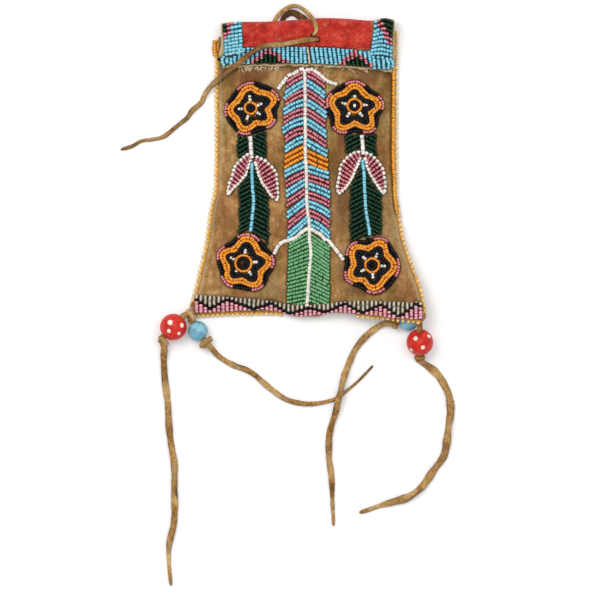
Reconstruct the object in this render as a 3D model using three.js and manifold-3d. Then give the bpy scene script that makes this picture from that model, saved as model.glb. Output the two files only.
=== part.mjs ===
// A beaded hide pouch with a fold-over flap, lying on its back. Millimetres, +Z up, +Y towards the flap.
// The origin is on the flat back, which rests on the table.
import * as THREE from 'three';
import { mergeVertices } from 'three/addons/utils/BufferGeometryUtils.js';
import Module from 'manifold-3d';

const wasm = await Module();
wasm.setup();

// Hide and clearances
const hideThickness = 1.5;
const seamGap = 0.3;
const seatGap = 0.35;
const flapGap = 0.4;
const foldGap = 0.3;
const sideGap = 0.3;

// Outline of the two panels
const mouthY = 66.5;
const waistY = -8;
const flareY = -40;
const hemLeftY = -72;
const hemMiddleY = -70.9;
const hemRightY = -75.2;
const hemSag = 2.4;
const hemSagShare = 0.49;
const hemSagHalfShare = 0.12;
const hemSagFallShare = 0.075;
const mouthLeftX = -45.7;
const waistLeftX = -45.4;
const flareLeftX = -51;
const hemLeftX = -58.8;
const mouthRightX = 42.2;
const waistRightX = 41.7;
const flareRightX = 45.8;
const hemRightX = 56.2;

// Pocket between the panels
const pocketRise = 4.9;
const crownLength = 75;
const crownPower = 4;

// Fold and flap
const foldRise = 8.5;
const flapOverhang = 0.7;
const lipLeftY = 51;
const lipMiddleY = 52;
const lipRightY = 49;
const lipWidth = 1;

// Seed beads: a row's width, and the height of its crest and of the dip between two rows
const rowPitch = 2;
const seedHeight = 1.7;
const dipHeight = 1.1;
const bridgeHeight = 0.5;

// Beaded lanes of the flap
const flapLaneInset = 1.6;
const leftLaneWidth = 10;
const rightLaneWidth = 11.4;
const flapLaneStart = 3.6;
const lowerLaneHeight = 9.4;
const stepTriangleHeight = 7.4;
const stepTriangleWidth = 18.4;
const leftTriangleX = -20.7;
const rightTriangleX = 23;

// Hem band, with its pink triangles as shares of its height and of its length
const hemBandHeight = 8.6;
const hemMiddleHeight = 5.2;
const hemBandInset = 0.9;
const hemPinkLowShare = 0.15;
const hemPinkHighShare = 0.6;
const hemZigzagWidth = 1.2;
const hemTriangles = 6;
const firstApexShare = 0.16;
const apexPitchShare = 0.163;

// Toothed edging
const edgingDepth = 2.3;
const edgingRoot = 1.3;
const edgingHeight = 1.7;
const toothPitch = 2.7;
const cornerBare = 3.4;
const hemEdgingLeft = 37;
const hemEdgingRight = 33;

// Flowers: outer radius, how far the petals swell it, the rings, and the places from the edges, lip and hem
const flowerRadius = 14;
const petalSwell = 0.06;
const petalCount = 5;
const borderWidth = 1.7;
const petalRingWidth = 3.8;
const innerRingRadius = 3.4;
const flowerBed = 0.4;
const upperFlowerDrop = 21.1;
const lowerLeftRise = 25;
const lowerRightRise = 22.5;
const upperLeftInset = 17;
const upperRightGap = 0.36;
const lowerLeftInset = 20.7;
const lowerRightInset = 17.8;

// Feather
const featherDrop = 3;
const featherHalfWidth = 10;
const featherSlope = 0.56;
const midribTopX = -2.8;
const midribWaistX = -1.7;
const midribLowX = 0.3;
const midribEndX = -1.6;
const midribWidth = 1.9;
const armGap = 1.9;
const baseLeftSlope = 0.58;
const baseRightSlope = 0.78;

// Stems and pink leaves
const stemHalfWidth = 7.8;
const stemRowSlope = 0.55;
const veinRise = 0.5;
const upperStemLength = 9;
const lowerStemDrop = 6.8;
const leftStemTopShift = -1;
const leftStemBottomShift = 2.2;
const rightStemTopShift = 3;
const rightStemBottomShift = -1.3;
const pinkLeafLength = 22.5;
const pinkLeafHalfWidth = 3;
const pinkLeafSpread = 0.52;
const pinkLeafRoot = 0.9;
const pinkLeafDrop = 1.2;

// Big glass beads and thongs
const redBeadDiameter = 13.4;
const blueBeadDiameter = 10;
const thongDiameter = 3;
const tieDiameter = 2.5;
const knotDiameter = 4.8;
const knotLength = 4.4;
const holeGap = 0.3;
const cornerLift = blueBeadDiameter + 1;
const cornerLiftReach = 57;

// Values that follow from those above
const seamTop = hideThickness + seamGap + hideThickness;
const foldTop = seamTop + pocketRise + flapGap + hideThickness;
const foldRadius = foldTop / 2;
const foldY = mouthY + foldRise;
const foldCentreY = foldY - foldRadius;
const quarterFold = foldRadius * Math.PI / 2;
const upperFlowerY = lipMiddleY - upperFlowerDrop;
const lowerLeftY = hemMiddleY + lowerLeftRise;
const lowerRightY = hemMiddleY + lowerRightRise;
const flowerReach = flowerRadius * (1 + petalSwell);
const featherTopY = lipMiddleY - featherDrop;

// Small curves
function smooth(t) {
  const s = Math.min(1, Math.max(0, t));
  return s * s * (3 - 2 * s);
}

function mix(a, b, t) {
  return a + (b - a) * t;
}

// A smooth value through a few stations, each a place and a value, with the places rising
function batten(stations, place) {
  const last = stations.length - 1;
  if (place <= stations[0][0]) return stations[0][1];
  if (place >= stations[last][0]) return stations[last][1];
  const i = stations.findIndex((station) => station[0] > place) - 1;
  const slope = (k) => {
    const a = stations[Math.max(0, k - 1)];
    const b = stations[Math.min(last, k + 1)];
    return (b[1] - a[1]) / (b[0] - a[0]);
  };
  const [p0, v0] = stations[i];
  const [p1, v1] = stations[i + 1];
  const span = p1 - p0;
  const t = (place - p0) / span;
  const rise = slope(i) * span * t * (1 - t) ** 2 - slope(i + 1) * span * t * t * (1 - t);
  return mix(v0, v1, smooth(t)) + rise;
}

// Outline and surfaces of the pouch
const leftStations = [
  [hemLeftY, hemLeftX], [flareY, flareLeftX], [waistY, waistLeftX], [mouthY, mouthLeftX],
];
const rightStations = [
  [hemRightY, hemRightX], [flareY, flareRightX], [waistY, waistRightX], [mouthY, mouthRightX],
];
const leftX = (y) => batten(leftStations, y);
const rightX = (y) => batten(rightStations, y);

// A quadratic through the values at the left, in the middle and at the right
function bowed(left, middle, right, u) {
  return left * (1 - u) * (1 - 2 * u) + middle * 4 * u * (1 - u) + right * u * (2 * u - 1);
}

// Bottom edge of the hide, which sags where its edging has worn away
function hemY(u) {
  const sag = hemSag * smooth((hemSagHalfShare - Math.abs(u - hemSagShare)) / hemSagFallShare);
  return bowed(hemLeftY, hemMiddleY, hemRightY, u) - sag;
}

const lipY = (u) => bowed(lipLeftY, lipMiddleY, lipRightY, u);

function shareAcross(x, y) {
  const u = (x - leftX(y)) / (rightX(y) - leftX(y));
  return Math.min(1, Math.max(0, u));
}

// How far the lower right corner is held up by the bead under it
const cornerWay = new THREE.Vector2(1, -1).normalize();
function lift(x, y) {
  const short = (x - hemRightX) * cornerWay.x + (y - hemRightY) * cornerWay.y;
  return cornerLift * smooth(1 + short / cornerLiftReach);
}

// How far the front panel stands off its seam
function crown(x, y) {
  const u = shareAcross(x, y);
  const along = Math.min(1, Math.max(0, (y - hemY(u)) / crownLength));
  const acrossShape = 1 - Math.abs(2 * u - 1) ** crownPower;
  const alongShape = 1 - (1 - along) ** crownPower;
  return pocketRise * acrossShape * alongShape;
}

const frontTop = (x, y) => lift(x, y) + seamTop + crown(x, y);

// A point of the front panel's outline grid, u across and v from the hem to the mouth
function panelPoint(u, v) {
  const y = mix(hemY(u), mouthY, v);
  return [mix(leftX(y), rightX(y), u), y];
}

// The flap's outer face, at x and at a distance along the hide from the fold's outermost line
const flapLeftX = mouthLeftX;
const flapRightX = mouthRightX + flapOverhang;
function flapHeight(x, y) {
  const u = (x - flapLeftX) / (flapRightX - flapLeftX);
  const fallen = smooth((foldCentreY - y) / (foldCentreY - lipY(u)));
  const resting = seamTop + crown(x, y) + flapGap + hideThickness;
  return mix(foldTop, resting, fallen);
}

function flapPoint(x, distance, out) {
  if (distance < quarterFold) {
    const turn = distance / foldRadius;
    const radius = foldRadius + out;
    return [x, foldCentreY + radius * Math.cos(turn), foldRadius + radius * Math.sin(turn)];
  }
  const y = foldCentreY - (distance - quarterFold);
  return [x, y, flapHeight(x, y) + out];
}

const flapLength = (u) => quarterFold + foldCentreY - lipY(u);

// Building blocks

// A box of faces bent into shape: place gives the point for shares across, along and through it
function bentBlock(across, along, through, place) {
  const box = new THREE.BoxGeometry(1, 1, 1, across, along, through);
  box.deleteAttribute('normal');
  box.deleteAttribute('uv');
  const block = mergeVertices(box);
  const spots = block.attributes.position;
  for (let i = 0; i < spots.count; i += 1) {
    spots.setXYZ(i, ...place(spots.getX(i) + 0.5, spots.getY(i) + 0.5, spots.getZ(i) + 0.5));
  }
  return block;
}

// Rows of seed beads side by side: a pad with a crest on each row and a dip between rows
function beadRows(rows, across, place, topAt) {
  const steps = 2 * rows - 2;
  return bentBlock(across, steps, 1, (u, v, w) => {
    const crest = Math.round(v * steps) % 2 === 0;
    const top = crest ? seedHeight : dipHeight;
    return place(u, v, w * (topAt ? topAt(u, top) : top));
  });
}

// A point at a height above its seat on the front panel
function onFront(x, y, height) {
  return [x, y, frontTop(x, y) + seatGap + height];
}

// One row of beads along a curve on the front panel, drawn from its list of points
function beadLine(points, width, underside) {
  const curve = new THREE.SplineCurve(points.map(([x, y]) => new THREE.Vector2(x, y)));
  const steps = Math.max(2, Math.round(curve.getLength() / (2 * rowPitch)));
  return bentBlock(1, steps, 1, (u, v, w) => {
    const spot = curve.getPointAt(v);
    const way = curve.getTangentAt(v);
    const off = (u - 0.5) * width;
    return onFront(spot.x + way.y * off, spot.y - way.x * off, mix(underside, seedHeight, w));
  });
}

function positionsOnly(geometry) {
  const plain = geometry.clone();
  plain.deleteAttribute('normal');
  plain.deleteAttribute('uv');
  return mergeVertices(plain);
}

function solidOf(geometry) {
  const merged = positionsOnly(geometry);
  return new wasm.Manifold(new wasm.Mesh({
    numProp: 3,
    vertProperties: new Float32Array(merged.attributes.position.array),
    triVerts: new Uint32Array(merged.index.array),
  }));
}

// Several touching closed shapes joined into one
function joined(geometries) {
  const [first, ...others] = geometries.map(solidOf);
  const mesh = others.reduce((whole, next) => whole.add(next), first).getMesh();
  const geometry = new THREE.BufferGeometry();
  geometry.setAttribute('position', new THREE.BufferAttribute(mesh.vertProperties, 3));
  geometry.setIndex(new THREE.BufferAttribute(mesh.triVerts, 1));
  return geometry;
}

// Colours and finishes
function finish(red, green, blue, roughness) {
  return new THREE.MeshStandardMaterial({
    color: new THREE.Color(red, green, blue),
    roughness,
    metalness: 0,
  });
}

const finishes = {
  hide: finish(0.5, 0.37, 0.2, 0.85),
  redHide: finish(0.62, 0.1, 0.07, 0.7),
  thong: finish(0.52, 0.38, 0.2, 0.8),
  lightBlue: finish(0.42, 0.75, 0.85, 0.25),
  pink: finish(0.75, 0.36, 0.44, 0.25),
  darkGreen: finish(0.02, 0.13, 0.08, 0.2),
  green: finish(0.3, 0.6, 0.35, 0.25),
  orange: finish(0.9, 0.5, 0.07, 0.25),
  black: finish(0.04, 0.03, 0.08, 0.2),
  white: finish(0.9, 0.86, 0.82, 0.25),
  pale: finish(0.68, 0.62, 0.53, 0.25),
  redGlass: finish(0.75, 0.08, 0.06, 0.15),
  blueGlass: finish(0.4, 0.65, 0.76, 0.2),
};

const pouch = new THREE.Group();

function add(name, geometry, material) {
  const mesh = new THREE.Mesh(geometry, material);
  mesh.name = name;
  pouch.add(mesh);
  return mesh;
}

// Hide panels and flap
const panelAcross = 14;
const panelAlong = 16;
const foldSteps = 4;
const flapSteps = 6;

function backPanel() {
  const steps = panelAlong + 1 + foldSteps;
  const splitTurn = Math.PI / 2 - foldGap / 2 / foldRadius;
  return bentBlock(panelAcross, steps, 1, (u, v, w) => {
    const step = Math.round(v * steps);
    const through = w * hideThickness;
    if (step <= panelAlong) {
      const [x, y] = panelPoint(u, step / panelAlong);
      return [x, y, lift(x, y) + through];
    }
    const x = mix(flapLeftX, flapRightX, u);
    const turn = splitTurn * (step - panelAlong - 1) / foldSteps;
    const radius = foldRadius - through;
    return [x, foldCentreY + radius * Math.sin(turn), foldRadius - radius * Math.cos(turn)];
  });
}

function frontPanel() {
  return bentBlock(panelAcross, panelAlong, 1, (u, v, w) => {
    const [x, y] = panelPoint(u, v);
    return [x, y, frontTop(x, y) - (1 - w) * hideThickness];
  });
}

function flap() {
  const steps = foldSteps + flapSteps;
  return bentBlock(panelAcross, steps, 1, (u, v, w) => {
    const x = mix(flapLeftX, flapRightX, u);
    const step = Math.round(v * steps);
    const out = -w * hideThickness;
    if (step <= foldSteps) return flapPoint(x, mix(foldGap / 2, quarterFold, step / foldSteps), out);
    return flapPoint(x, mix(quarterFold, flapLength(u), (step - foldSteps) / flapSteps), out);
  });
}

add('back_panel', backPanel(), finishes.hide);
add('front_panel', frontPanel(), finishes.hide);
add('flap', flap(), finishes.redHide);

// Beaded lanes of the flap
const lowerLaneLeftX = flapLeftX + flapLaneInset;
const lowerLaneRightX = flapRightX - lipWidth;
const lowerLaneEnd = (x) => flapLength((x - flapLeftX) / (flapRightX - flapLeftX)) - lipWidth;
const lowerLaneStart = (x) => lowerLaneEnd(x) - lowerLaneHeight;

// Height at x of the stepped triangles, grown on all sides by a margin
function triangleHeight(x, margin) {
  const nearest = Math.min(Math.abs(x - leftTriangleX), Math.abs(x - rightTriangleX));
  const slope = stepTriangleHeight / (stepTriangleWidth / 2);
  return Math.max(0, stepTriangleHeight + (margin - nearest) * slope);
}

const onFlap = (x, distance, height) => flapPoint(x, distance, seatGap + height);

function sideLane(fromX, toX) {
  const rows = Math.round((lowerLaneStart(fromX) - flapLaneStart) / rowPitch) + 1;
  return beadRows(rows, 2, (u, v, height) => {
    const x = mix(fromX, toX, u);
    return onFlap(x, mix(lowerLaneStart(x) - sideGap, flapLaneStart, v), height);
  });
}

function lowerLane() {
  const rows = Math.round((lowerLaneRightX - lowerLaneLeftX) / (1.5 * rowPitch));
  return beadRows(rows, 1, (u, v, height) => {
    const x = mix(lowerLaneLeftX, lowerLaneRightX, v);
    const cut = triangleHeight(x, rowPitch / 2);
    return onFlap(x, mix(lowerLaneStart(x), lowerLaneEnd(x) - cut, u), height);
  });
}

function stepTriangle(centreX) {
  const rows = Math.round(stepTriangleWidth / rowPitch) - 1;
  const half = stepTriangleWidth / 2 - sideGap * 2;
  return beadRows(rows, 1, (u, v, height) => {
    const x = centreX + mix(-half, half, v);
    const end = lowerLaneEnd(x);
    return onFlap(x, mix(end - triangleHeight(x, 0), end, u), height);
  });
}

add('flap_left_beads', sideLane(lowerLaneLeftX, lowerLaneLeftX + leftLaneWidth), finishes.lightBlue);
add('flap_right_beads', sideLane(lowerLaneRightX - rightLaneWidth, lowerLaneRightX), finishes.lightBlue);
add('flap_lower_beads', lowerLane(), finishes.lightBlue);
add('flap_left_triangle', stepTriangle(leftTriangleX), finishes.darkGreen);
add('flap_right_triangle', stepTriangle(rightTriangleX), finishes.darkGreen);

// Hem band: pink triangles at the edge, a black zigzag row on them, and pale columns above
const zigzagColumns = 3 * hemTriangles + 1;
const hemTop = (u) => bowed(hemBandHeight, hemMiddleHeight, hemBandHeight, u);
const hemHeight = (u) => {
  const cell = (u - firstApexShare) / apexPitchShare;
  const wave = 2 * Math.abs(cell - Math.round(cell));
  return hemTop(u) * mix(hemPinkHighShare, hemPinkLowShare, wave);
};

function hemStrip(fromHeight, toHeight, columns) {
  return beadRows(columns, 1, (u, v, height) => {
    const share = mix(0.02, 0.98, v);
    const up = hemBandInset + mix(toHeight(share), fromHeight(share), u);
    const y = hemY(share) + up;
    return onFront(mix(leftX(y), rightX(y), share), y, height);
  });
}

const zigzagTop = (u) => hemHeight(u) + sideGap + hemZigzagWidth;
add('hem_pink_beads', hemStrip(() => 0, hemHeight, zigzagColumns), finishes.pink);
add('hem_black_row', hemStrip((u) => hemHeight(u) + sideGap, zigzagTop, zigzagColumns), finishes.black);
add('hem_pale_beads', hemStrip((u) => zigzagTop(u) + sideGap, hemTop, zigzagColumns), finishes.pale);

// Toothed edging: a three-sided rod beside the hide's edge, with the outside to the left of its way
function toothedRod(length, spotAt) {
  const steps = 2 * Math.round(length / toothPitch);
  const rod = positionsOnly(new THREE.CylinderGeometry(1, 1, 1, 3, steps));
  const spots = rod.attributes.position;
  const cornerX = Math.sin(Math.PI * 2 / 3);
  const tipSpan = 1.5;
  for (let i = 0; i < spots.count; i += 1) {
    const share = spots.getY(i) + 0.5;
    const tooth = Math.round(share * steps) % 2 === 1 ? edgingDepth : edgingRoot;
    const out = sideGap + tooth * (spots.getZ(i) + 0.5) / tipSpan;
    const [x, y, outX, outY] = spotAt(share);
    const up = seamTop / 2 + spots.getX(i) / cornerX * edgingHeight / 2;
    spots.setXYZ(i, x + outX * out, y + outY * out, lift(x, y) + up);
  }
  return rod;
}

function sideEdging(edgeAt, bottomY, side) {
  const fromY = bottomY + cornerBare;
  const rod = toothedRod(mouthY - fromY, (share) => {
    const y = side < 0 ? mix(fromY, mouthY, share) : mix(mouthY, fromY, share);
    return [edgeAt(y), y, side, 0];
  });
  return rod;
}

function hemEdging(fromX, toX) {
  return toothedRod(fromX - toX, (share) => {
    const x = mix(fromX, toX, share);
    const u = (x - hemLeftX) / (hemRightX - hemLeftX);
    return [x, hemY(u), 0, -1];
  });
}

add('edging_left_side', sideEdging(leftX, hemLeftY, -1), finishes.orange);
add('edging_right_side', sideEdging(rightX, hemRightY, 1), finishes.orange);
const leftBareX = hemLeftX + cornerBare;
const rightBareX = hemRightX - cornerBare;
add('edging_left_hem', hemEdging(leftBareX + hemEdgingLeft, leftBareX), finishes.orange);
add('edging_right_hem', hemEdging(rightBareX, rightBareX - hemEdgingRight), finishes.orange);

// Feather's axis, from its chevrons' rows
const hemTopY = (u) => hemY(u) + hemBandInset + hemTop(u) + sideGap;
const chevronColours = [
  'pink', 'blue', 'pink', 'blue', 'pink', 'blue', 'pink', 'blue', 'orange',
  'blue', 'pink', 'blue', 'pink', 'blue', 'pink', 'blue',
];
const chevronRows = (colour) => (colour === 'orange' ? 3 : 2);
const chevronRowHeight = rowPitch * Math.hypot(1, featherSlope);
const chevronRowCount = chevronColours.reduce((rows, colour) => rows + chevronRows(colour), 0);
const chevronEndY = featherTopY - chevronRowCount * chevronRowHeight;
const armY = chevronEndY - armGap;
const baseTopY = armY - armGap;
const midribEndY = hemTopY(0.5) + sideGap;
const midribStations = [
  [midribEndY, midribEndX], [armY, midribLowX], [0, midribWaistX], [featherTopY, midribTopX],
];
const midribX = (y) => batten(midribStations, y);
const featherRightX = (y) => midribX(y) + featherHalfWidth;

// Flowers: rings of bead rows whose radius swells at five petals
const petalSteps = petalCount * 4;
function flowerRing(profile, centre, tipAngle) {
  const outline = profile.map(([radius, height]) => new THREE.Vector2(radius, height));
  const ring = positionsOnly(new THREE.LatheGeometry(outline, petalSteps));
  const spots = ring.attributes.position;
  for (let i = 0; i < spots.count; i += 1) {
    const angle = Math.atan2(spots.getX(i), spots.getZ(i));
    const swell = 1 + petalSwell * Math.cos(petalCount * angle);
    const radius = Math.hypot(spots.getX(i), spots.getZ(i)) * swell;
    const x = centre[0] + radius * Math.cos(angle + tipAngle);
    const y = centre[1] + radius * Math.sin(angle + tipAngle);
    spots.setXYZ(i, ...onFront(x, y, spots.getY(i)));
  }
  return ring;
}

const borderInner = flowerRadius - borderWidth;
const petalOuter = borderInner - sideGap;
const petalInner = petalOuter - petalRingWidth;
const starOuter = petalInner - sideGap;
const petalSeat = flowerBed + sideGap;
const flowerBaseProfile = [
  [0, 0], [flowerRadius / 2, 0], [flowerRadius, 0], [flowerRadius, seedHeight], [borderInner, seedHeight],
  [borderInner, flowerBed], [starOuter, flowerBed], [starOuter, seedHeight],
  [innerRingRadius, dipHeight], [0, seedHeight],
];
const petalProfile = [
  [petalInner, petalSeat], [petalOuter, petalSeat], [petalOuter, seedHeight],
  [(petalInner + petalOuter) / 2, dipHeight], [petalInner, seedHeight], [petalInner, petalSeat],
];

const flowers = {
  upper_left: { x: leftX(upperFlowerY) + upperLeftInset, y: upperFlowerY, tip: 90 },
  upper_right: { x: featherRightX(upperFlowerY) + upperRightGap + flowerReach, y: upperFlowerY, tip: 86 },
  lower_left: { x: leftX(lowerLeftY) + lowerLeftInset, y: lowerLeftY, tip: 78 },
  lower_right: { x: rightX(lowerRightY) - lowerRightInset, y: lowerRightY, tip: 64 },
};
for (const [place, { x, y, tip }] of Object.entries(flowers)) {
  const tipAngle = THREE.MathUtils.degToRad(tip);
  add(`flower_${place}_base`, flowerRing(flowerBaseProfile, [x, y], tipAngle), finishes.black);
  add(`flower_${place}_petals`, flowerRing(petalProfile, [x, y], tipAngle), finishes.orange);
}

// Stems: green rows that slope down from a raised vein, and the pink leaves at their joint
const stemTopY = upperFlowerY - flowerReach - sideGap;
const pinkRootY = stemTopY - upperStemLength - pinkLeafDrop;
const lowerStemTopY = pinkRootY - lowerStemDrop;
const pinkReach = pinkLeafLength * Math.cos(pinkLeafSpread);

function pinkHalfWidth(share) {
  const belly = Math.max(0, 4 * share * (1 - share)) ** 0.75;
  return pinkLeafHalfWidth * belly + sideGap;
}

// Room for the green rows between the two pink leaves at a height
function greenHalfWidth(y) {
  const share = (pinkRootY - y) / pinkReach;
  if (share >= 1) return stemHalfWidth;
  const axis = pinkLeafRoot + (pinkRootY - y) * Math.tan(pinkLeafSpread);
  const room = axis - pinkHalfWidth(share) / Math.cos(pinkLeafSpread) - sideGap;
  return Math.min(stemHalfWidth, room);
}

function stemLeaf(axisX, bottomY, topY, halfWidthAt) {
  const rows = Math.max(3, Math.round((topY - bottomY) / (rowPitch * Math.hypot(1, stemRowSlope))));
  const raised = (u, top) => (u > 0.4 && u < 0.6 ? top + veinRise : top);
  return beadRows(rows, 2, (u, v, height) => {
    const y = mix(bottomY, topY, v);
    const off = (2 * u - 1) * halfWidthAt(y);
    return onFront(axisX(y) + off, y - stemRowSlope * Math.abs(off), height);
  }, raised);
}

function pinkLeaf(rootX, side) {
  const rows = Math.round(pinkLeafLength / (1.5 * rowPitch));
  const way = [side * Math.sin(pinkLeafSpread), -Math.cos(pinkLeafSpread)];
  return beadRows(rows, 1, (u, v, height) => {
    const along = v * pinkLeafLength;
    const off = (2 * u - 1) * pinkHalfWidth(v);
    const x = rootX + side * pinkLeafRoot + way[0] * along + way[1] * off;
    const y = pinkRootY + way[1] * along - way[0] * off;
    return onFront(x, y, height);
  });
}

function addStem(side, upper, lower, topShift, bottomShift) {
  const topX = upper.x + topShift;
  const bottomX = lower.x + bottomShift;
  const bottomY = lower.y + flowerReach + stemHalfWidth * stemRowSlope + sideGap;
  const axisX = (y) => mix(bottomX, topX, (y - bottomY) / (stemTopY - bottomY));
  const upperLeaf = stemLeaf(axisX, stemTopY - upperStemLength, stemTopY, () => stemHalfWidth);
  const lowerLeaf = stemLeaf(axisX, bottomY, lowerStemTopY, greenHalfWidth);
  add(`stem_${side}_upper_leaf`, upperLeaf, finishes.darkGreen);
  add(`stem_${side}_lower_leaf`, lowerLeaf, finishes.darkGreen);
  const outward = side === 'left' ? -1 : 1;
  add(`pink_leaf_${side}_outer`, pinkLeaf(axisX(pinkRootY), outward), finishes.pink);
  add(`pink_leaf_${side}_inner`, pinkLeaf(axisX(pinkRootY), -outward), finishes.pink);
}

addStem('left', flowers.upper_left, flowers.lower_left, leftStemTopShift, leftStemBottomShift);
addStem('right', flowers.upper_right, flowers.lower_right, rightStemTopShift, rightStemBottomShift);

// Feather: chevrons of two or three rows, which run as a low bridge under the midrib

// Stations across the feather, with a narrow step down to the bridge on both sides of the midrib
const grooveHalf = midribWidth / 2 + sideGap;
const bridgeHalf = grooveHalf - 0.15;
const featherAcross = [-featherHalfWidth, -grooveHalf, -bridgeHalf, bridgeHalf, grooveHalf, featherHalfWidth];
const featherSteps = featherAcross.length - 1;
const featherOff = (u) => featherAcross[Math.round(u * featherSteps)];
const bridged = (u, top) => (Math.abs(featherOff(u)) < grooveHalf ? bridgeHeight : top);

function chevron(rows, bottomY, topY) {
  return beadRows(rows, featherSteps, (u, v, height) => {
    const y = mix(bottomY, topY, v);
    const off = featherOff(u);
    return onFront(midribX(y) + off, y - featherSlope * Math.abs(off), height);
  }, bridged);
}

function featherBase() {
  const rows = Math.round((baseTopY - midribEndY) / chevronRowHeight);
  return beadRows(rows, featherSteps, (u, v, height) => {
    const off = featherOff(u);
    const top = baseTopY - Math.abs(off) * (off < 0 ? baseLeftSlope : baseRightSlope);
    const x = midribX(mix(midribEndY, baseTopY, v)) + off;
    const bottom = hemTopY(shareAcross(x, midribEndY)) + sideGap;
    return onFront(x, mix(bottom, top, v), height);
  }, bridged);
}

let chevronTopY = featherTopY;
chevronColours.forEach((colour, i) => {
  const rows = chevronRows(colour);
  const bottomY = chevronTopY - rows * chevronRowHeight;
  const material = { pink: finishes.pink, blue: finishes.lightBlue, orange: finishes.orange }[colour];
  add(`feather_chevron_${i + 1}_${colour}`, chevron(rows, bottomY + sideGap, chevronTopY), material);
  chevronTopY = bottomY;
});
add('feather_green_base', featherBase(), finishes.green);

// White lines of the feather: the midrib over the bridge, and two arms at each end of the chevrons
const upperArmY = featherTopY + midribWidth;
const midribPoints = [
  [midribX(midribEndY), midribEndY], [midribX(armY), armY], [midribX(0), 0],
  [midribX(featherTopY), upperArmY + midribWidth / 4],
];
const armShapes = [
  [upperArmY, [[0, 0], [-3.5, -1], [-7.8, -3.2], [-11.1, -5.8], [-13.3, -10.2]]],
  [upperArmY, [[0, 0], [3.3, -0.6], [5.8, -1.6], [9.4, -4.4], [12.8, -6.9], [14.6, -7.4]]],
  [armY, [[0, 0], [-6, -3.2], [-11.2, -6.1], [-13.6, -7.7], [-16, -11.2]]],
  [armY, [[0, 0], [5, -3.6], [9.4, -7.2], [15.2, -14.3]]],
];
const whiteLines = armShapes.map(([y, shape]) => {
  const points = shape.map(([alongX, alongY]) => [midribX(y) + alongX, y + alongY]);
  return beadLine(points, midribWidth, 0);
});
whiteLines.push(beadLine(midribPoints, midribWidth, bridgeHeight + sideGap));
add('feather_white_lines', joined(whiteLines), finishes.white);

// Big glass beads: each a bored ball, given by its centre and the way its thong runs through it
const bigBeads = {
  red_left: { diameter: redBeadDiameter, centre: [-68.25, -78.5, 6.7], way: [-0.7, -0.715, 0] },
  blue_left: { diameter: blueBeadDiameter, centre: [-56, -80.5, 5], way: [0.595, -0.803, 0] },
  blue_right: { diameter: blueBeadDiameter, centre: [49.2, -75.4, 5], way: [-0.985, -0.17, 0] },
  red_right: { diameter: redBeadDiameter, centre: [54.85, -86.1, 6.7], way: [0, -0.872, -0.49] },
};

// A shape turned about its own axis, moved so that the axis runs a given way through a given point
function turned(profile, centre, way) {
  const points = profile.map(([radius, along]) => new THREE.Vector2(radius, along));
  const shape = new THREE.LatheGeometry(points, 10);
  const turn = new THREE.Quaternion();
  turn.setFromUnitVectors(new THREE.Vector3(0, 1, 0), new THREE.Vector3(...way).normalize());
  shape.applyQuaternion(turn);
  shape.translate(...centre);
  return shape;
}

function boredBall(diameter, centre, way) {
  const hole = thongDiameter / 2 + holeGap;
  const radius = diameter / 2;
  const from = Math.asin(hole / radius);
  const profile = [];
  const bands = 6;
  for (let i = 0; i <= bands; i += 1) {
    const angle = mix(Math.PI - from, from, i / bands);
    profile.push([radius * Math.sin(angle), radius * Math.cos(angle)]);
  }
  profile.push(profile[0]);
  return turned(profile, centre, way);
}

function knot(centre, way) {
  const half = knotLength / 2;
  const profile = [[0, -half], [knotDiameter * 0.34, -half], [knotDiameter / 2, -half / 3],
    [knotDiameter / 2, half / 3], [knotDiameter * 0.34, half], [0, half]];
  return turned(profile, centre, way);
}

for (const [name, { diameter, centre, way }] of Object.entries(bigBeads)) {
  const material = name.startsWith('red') ? finishes.redGlass : finishes.blueGlass;
  add(`glass_bead_${name}`, boredBall(diameter, centre, way), material);
}

// Thongs: round strips swept along their lists of points
const onTable = thongDiameter / 2 + 0.05;
const tieOnTable = tieDiameter / 2 + 0.05;

function strip(points, diameter, stepLength) {
  const curve = new THREE.CatmullRomCurve3(points.map((point) => new THREE.Vector3(...point)));
  const round = new THREE.Shape();
  round.absarc(0, 0, diameter / 2, 0, Math.PI * 2);
  return new THREE.ExtrudeGeometry(round, {
    steps: Math.round(curve.getLength() / stepLength),
    curveSegments: 4,
    bevelEnabled: false,
    extrudePath: curve,
  });
}

// Points on the straight line of a bead's thong, at distances along it from the bead's centre
function throughBead({ centre, way }, distances) {
  const length = Math.hypot(...way);
  return distances.map((distance) => centre.map((value, i) => value + way[i] / length * distance));
}

const lying = (spots, height) => spots.map(([x, y]) => [x, y, height]);

// Each thong leaves the corner's seam, runs straight through its bead to a knot, and ends in a loose tail
const redLeft = bigBeads.red_left;
const redLeftPath = [
  [-57.6, -71.4, 5.9],
  ...throughBead(redLeft, [-8.6, -4, 0, 4, 8.6]),
  [-72.9, -88.2, 4.4], [-73.15, -94.85, 2.4],
  ...lying([
    [-72.8, -101.45], [-72.4, -106.45], [-71.65, -112], [-70.95, -119], [-70.7, -125.35], [-70, -133],
    [-69, -140], [-67.9, -146.35], [-67.7, -152.7], [-67.85, -158.3], [-67.7, -165.3], [-67.7, -171.6],
    [-68.25, -177.95], [-69.5, -182.85], [-70.35, -187.05], [-70.65, -191.95], [-70.5, -197.55],
    [-70, -202.5], [-69.45, -207.75],
  ], onTable),
];

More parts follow.
